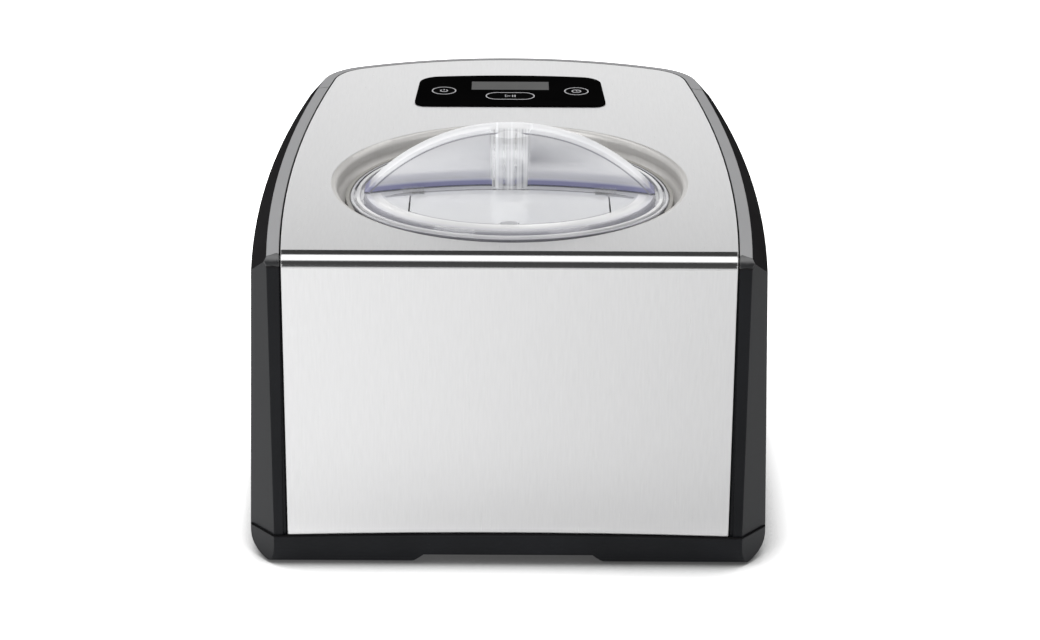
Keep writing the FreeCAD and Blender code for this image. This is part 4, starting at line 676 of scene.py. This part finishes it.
def key_marks():
    """Light line round each key, and a plain sign on it, printed on the key's top."""
    for name, (sign, size) in KEY_SIGNS.items():
        low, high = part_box(name)
        centre = Vector(((low.x + high.x) / 2, (low.y + high.y) / 2))
        z = high.z + MARK_HEIGHT - MARK_SINK
        form = bmesh.new()
        ring = long_ring(centre, (high.x - low.x) / 2 - MARK_INSET, (high.y - low.y) / 2 - MARK_INSET)
        ribbon(form, ring, z, closed=True)
        sign(form, centre, size, z)
        bmesh.ops.recalc_face_normals(form, faces=form.faces)
        mesh = bpy.data.meshes.new(name + "_print")
        form.to_mesh(mesh)
        form.free()
        mesh.materials.append(MATERIALS["key_print"])
        piece = bpy.data.objects.new(name + "_print", mesh)
        bpy.context.scene.collection.objects.link(piece)
        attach(piece, name)


def floor():
    """Pale floor that glows a little, as painted light stronger to the left and behind, so that only the
    contact shadow stays; the contact shadow is painted from ambient occlusion.
    """
    reach = FLOOR_REACH
    corners = [(-reach, -reach, 0), (reach, -reach, 0), (reach, reach, 0), (-reach, reach, 0)]
    mesh = bpy.data.meshes.new("floor")
    mesh.from_pydata(corners, [], [(0, 1, 2, 3)])
    ground = bpy.data.objects.new("floor", mesh)
    bpy.context.scene.collection.objects.link(ground)
    material, tree, shader = new_material("floor")
    near = add(tree, "ShaderNodeAmbientOcclusion", samples=8)
    near.inputs["Distance"].default_value = SHADOW_REACH
    open_share = ranged(tree, near.outputs["AO"], SHADOW_FULL, 1.0, SHADOW_LEAST_LIGHT, 1.0)
    dark = maths(tree, "SUBTRACT", 1.0, open_share)
    pale = two_colours(tree, stretched_noise(tree, FLOOR_PATCHES, detail=2.0), *FLOOR_SHADES)
    tree.links.new(mixed(tree, dark, pale, SHADOW_SHADE), shader.inputs["Base Color"])
    x, y = place_on(tree, "XY")
    glow = ranged(tree, x, -GLOW_REACH, GLOW_REACH, GLOW_LEFT, GLOW_RIGHT)
    glow = maths(tree, "ADD", glow, ranged(tree, y, GLOW_FRONT - GLOW_FADE, GLOW_FRONT, 0.0, GLOW_BEHIND))
    tree.links.new(product(tree, glow, open_share), shader.inputs["Emission Strength"])
    shader.inputs["Emission Color"].default_value = (1.0, 1.0, 1.0, 1.0)
    shader.inputs["Roughness"].default_value = 0.9
    shader.inputs["Specular IOR Level"].default_value = 0.1
    mesh.materials.append(material)


def room():
    """Soft room light in bands: bright at the horizons, high up behind and at both sides, dark between."""
    world = bpy.data.worlds.new("studio")
    bpy.context.scene.world = world
    world.use_nodes = True
    tree = world.node_tree
    background = tree.nodes["Background"]
    x, y, z = place_on(tree, "XYZ", "Generated")
    angle = maths(tree, "ARCTAN2", z, product(tree, y, -1.0))
    stops = [(place, (level, level, level, 1.0)) for place, level in ROOM]
    bands = colour_ramp(tree, ranged(tree, angle, 0.0, math.pi, 0.0, 1.0), stops)[0]
    sides = ranged(tree, maths(tree, "ABSOLUTE", x), SIDE_START, SIDE_END, 0.0, 1.0)
    tree.links.new(mixed(tree, sides, bands, (SIDE_LEVEL,) * 3), background.inputs["Color"])
    background.inputs["Strength"].default_value = 1.0


def soft_light(name, place, side, power):
    """Square soft light aimed at the machine's front."""
    light = bpy.data.lights.new(name, "AREA")
    light.shape = "SQUARE"
    light.size = side
    light.energy = power
    holder = bpy.data.objects.new(name, light)
    holder.location = place
    holder.rotation_mode = "QUATERNION"
    holder.rotation_quaternion = (Vector(LIGHT_TARGET) - Vector(place)).to_track_quat("-Z", "Y")
    bpy.context.scene.collection.objects.link(holder)


def photo_camera():
    """Camera at the photograph's angle, with its framing."""
    data = bpy.data.cameras.new("camera")
    data.sensor_width = SENSOR
    data.lens = FOCAL_PIXELS / IMAGE_WIDTH * SENSOR
    data.shift_x = (IMAGE_WIDTH / 2 - AXIS_PIXEL_X) / IMAGE_WIDTH
    camera = bpy.data.objects.new("camera", data)
    camera.location = (0.0, CAMERA_Y, CAMERA_Z)
    camera.rotation_mode = "ZXY"
    camera.rotation_euler = (math.radians(90 - CAMERA_PITCH), 0.0, math.radians(CAMERA_ROLL))
    bpy.context.scene.collection.objects.link(camera)
    bpy.context.scene.camera = camera


finish_nodes()
key_marks()
floor()
room()
for light_name, light_values in LIGHTS.items():
    soft_light(light_name, *light_values)
photo_camera()
bpy.context.scene.view_settings.view_transform = "Standard"
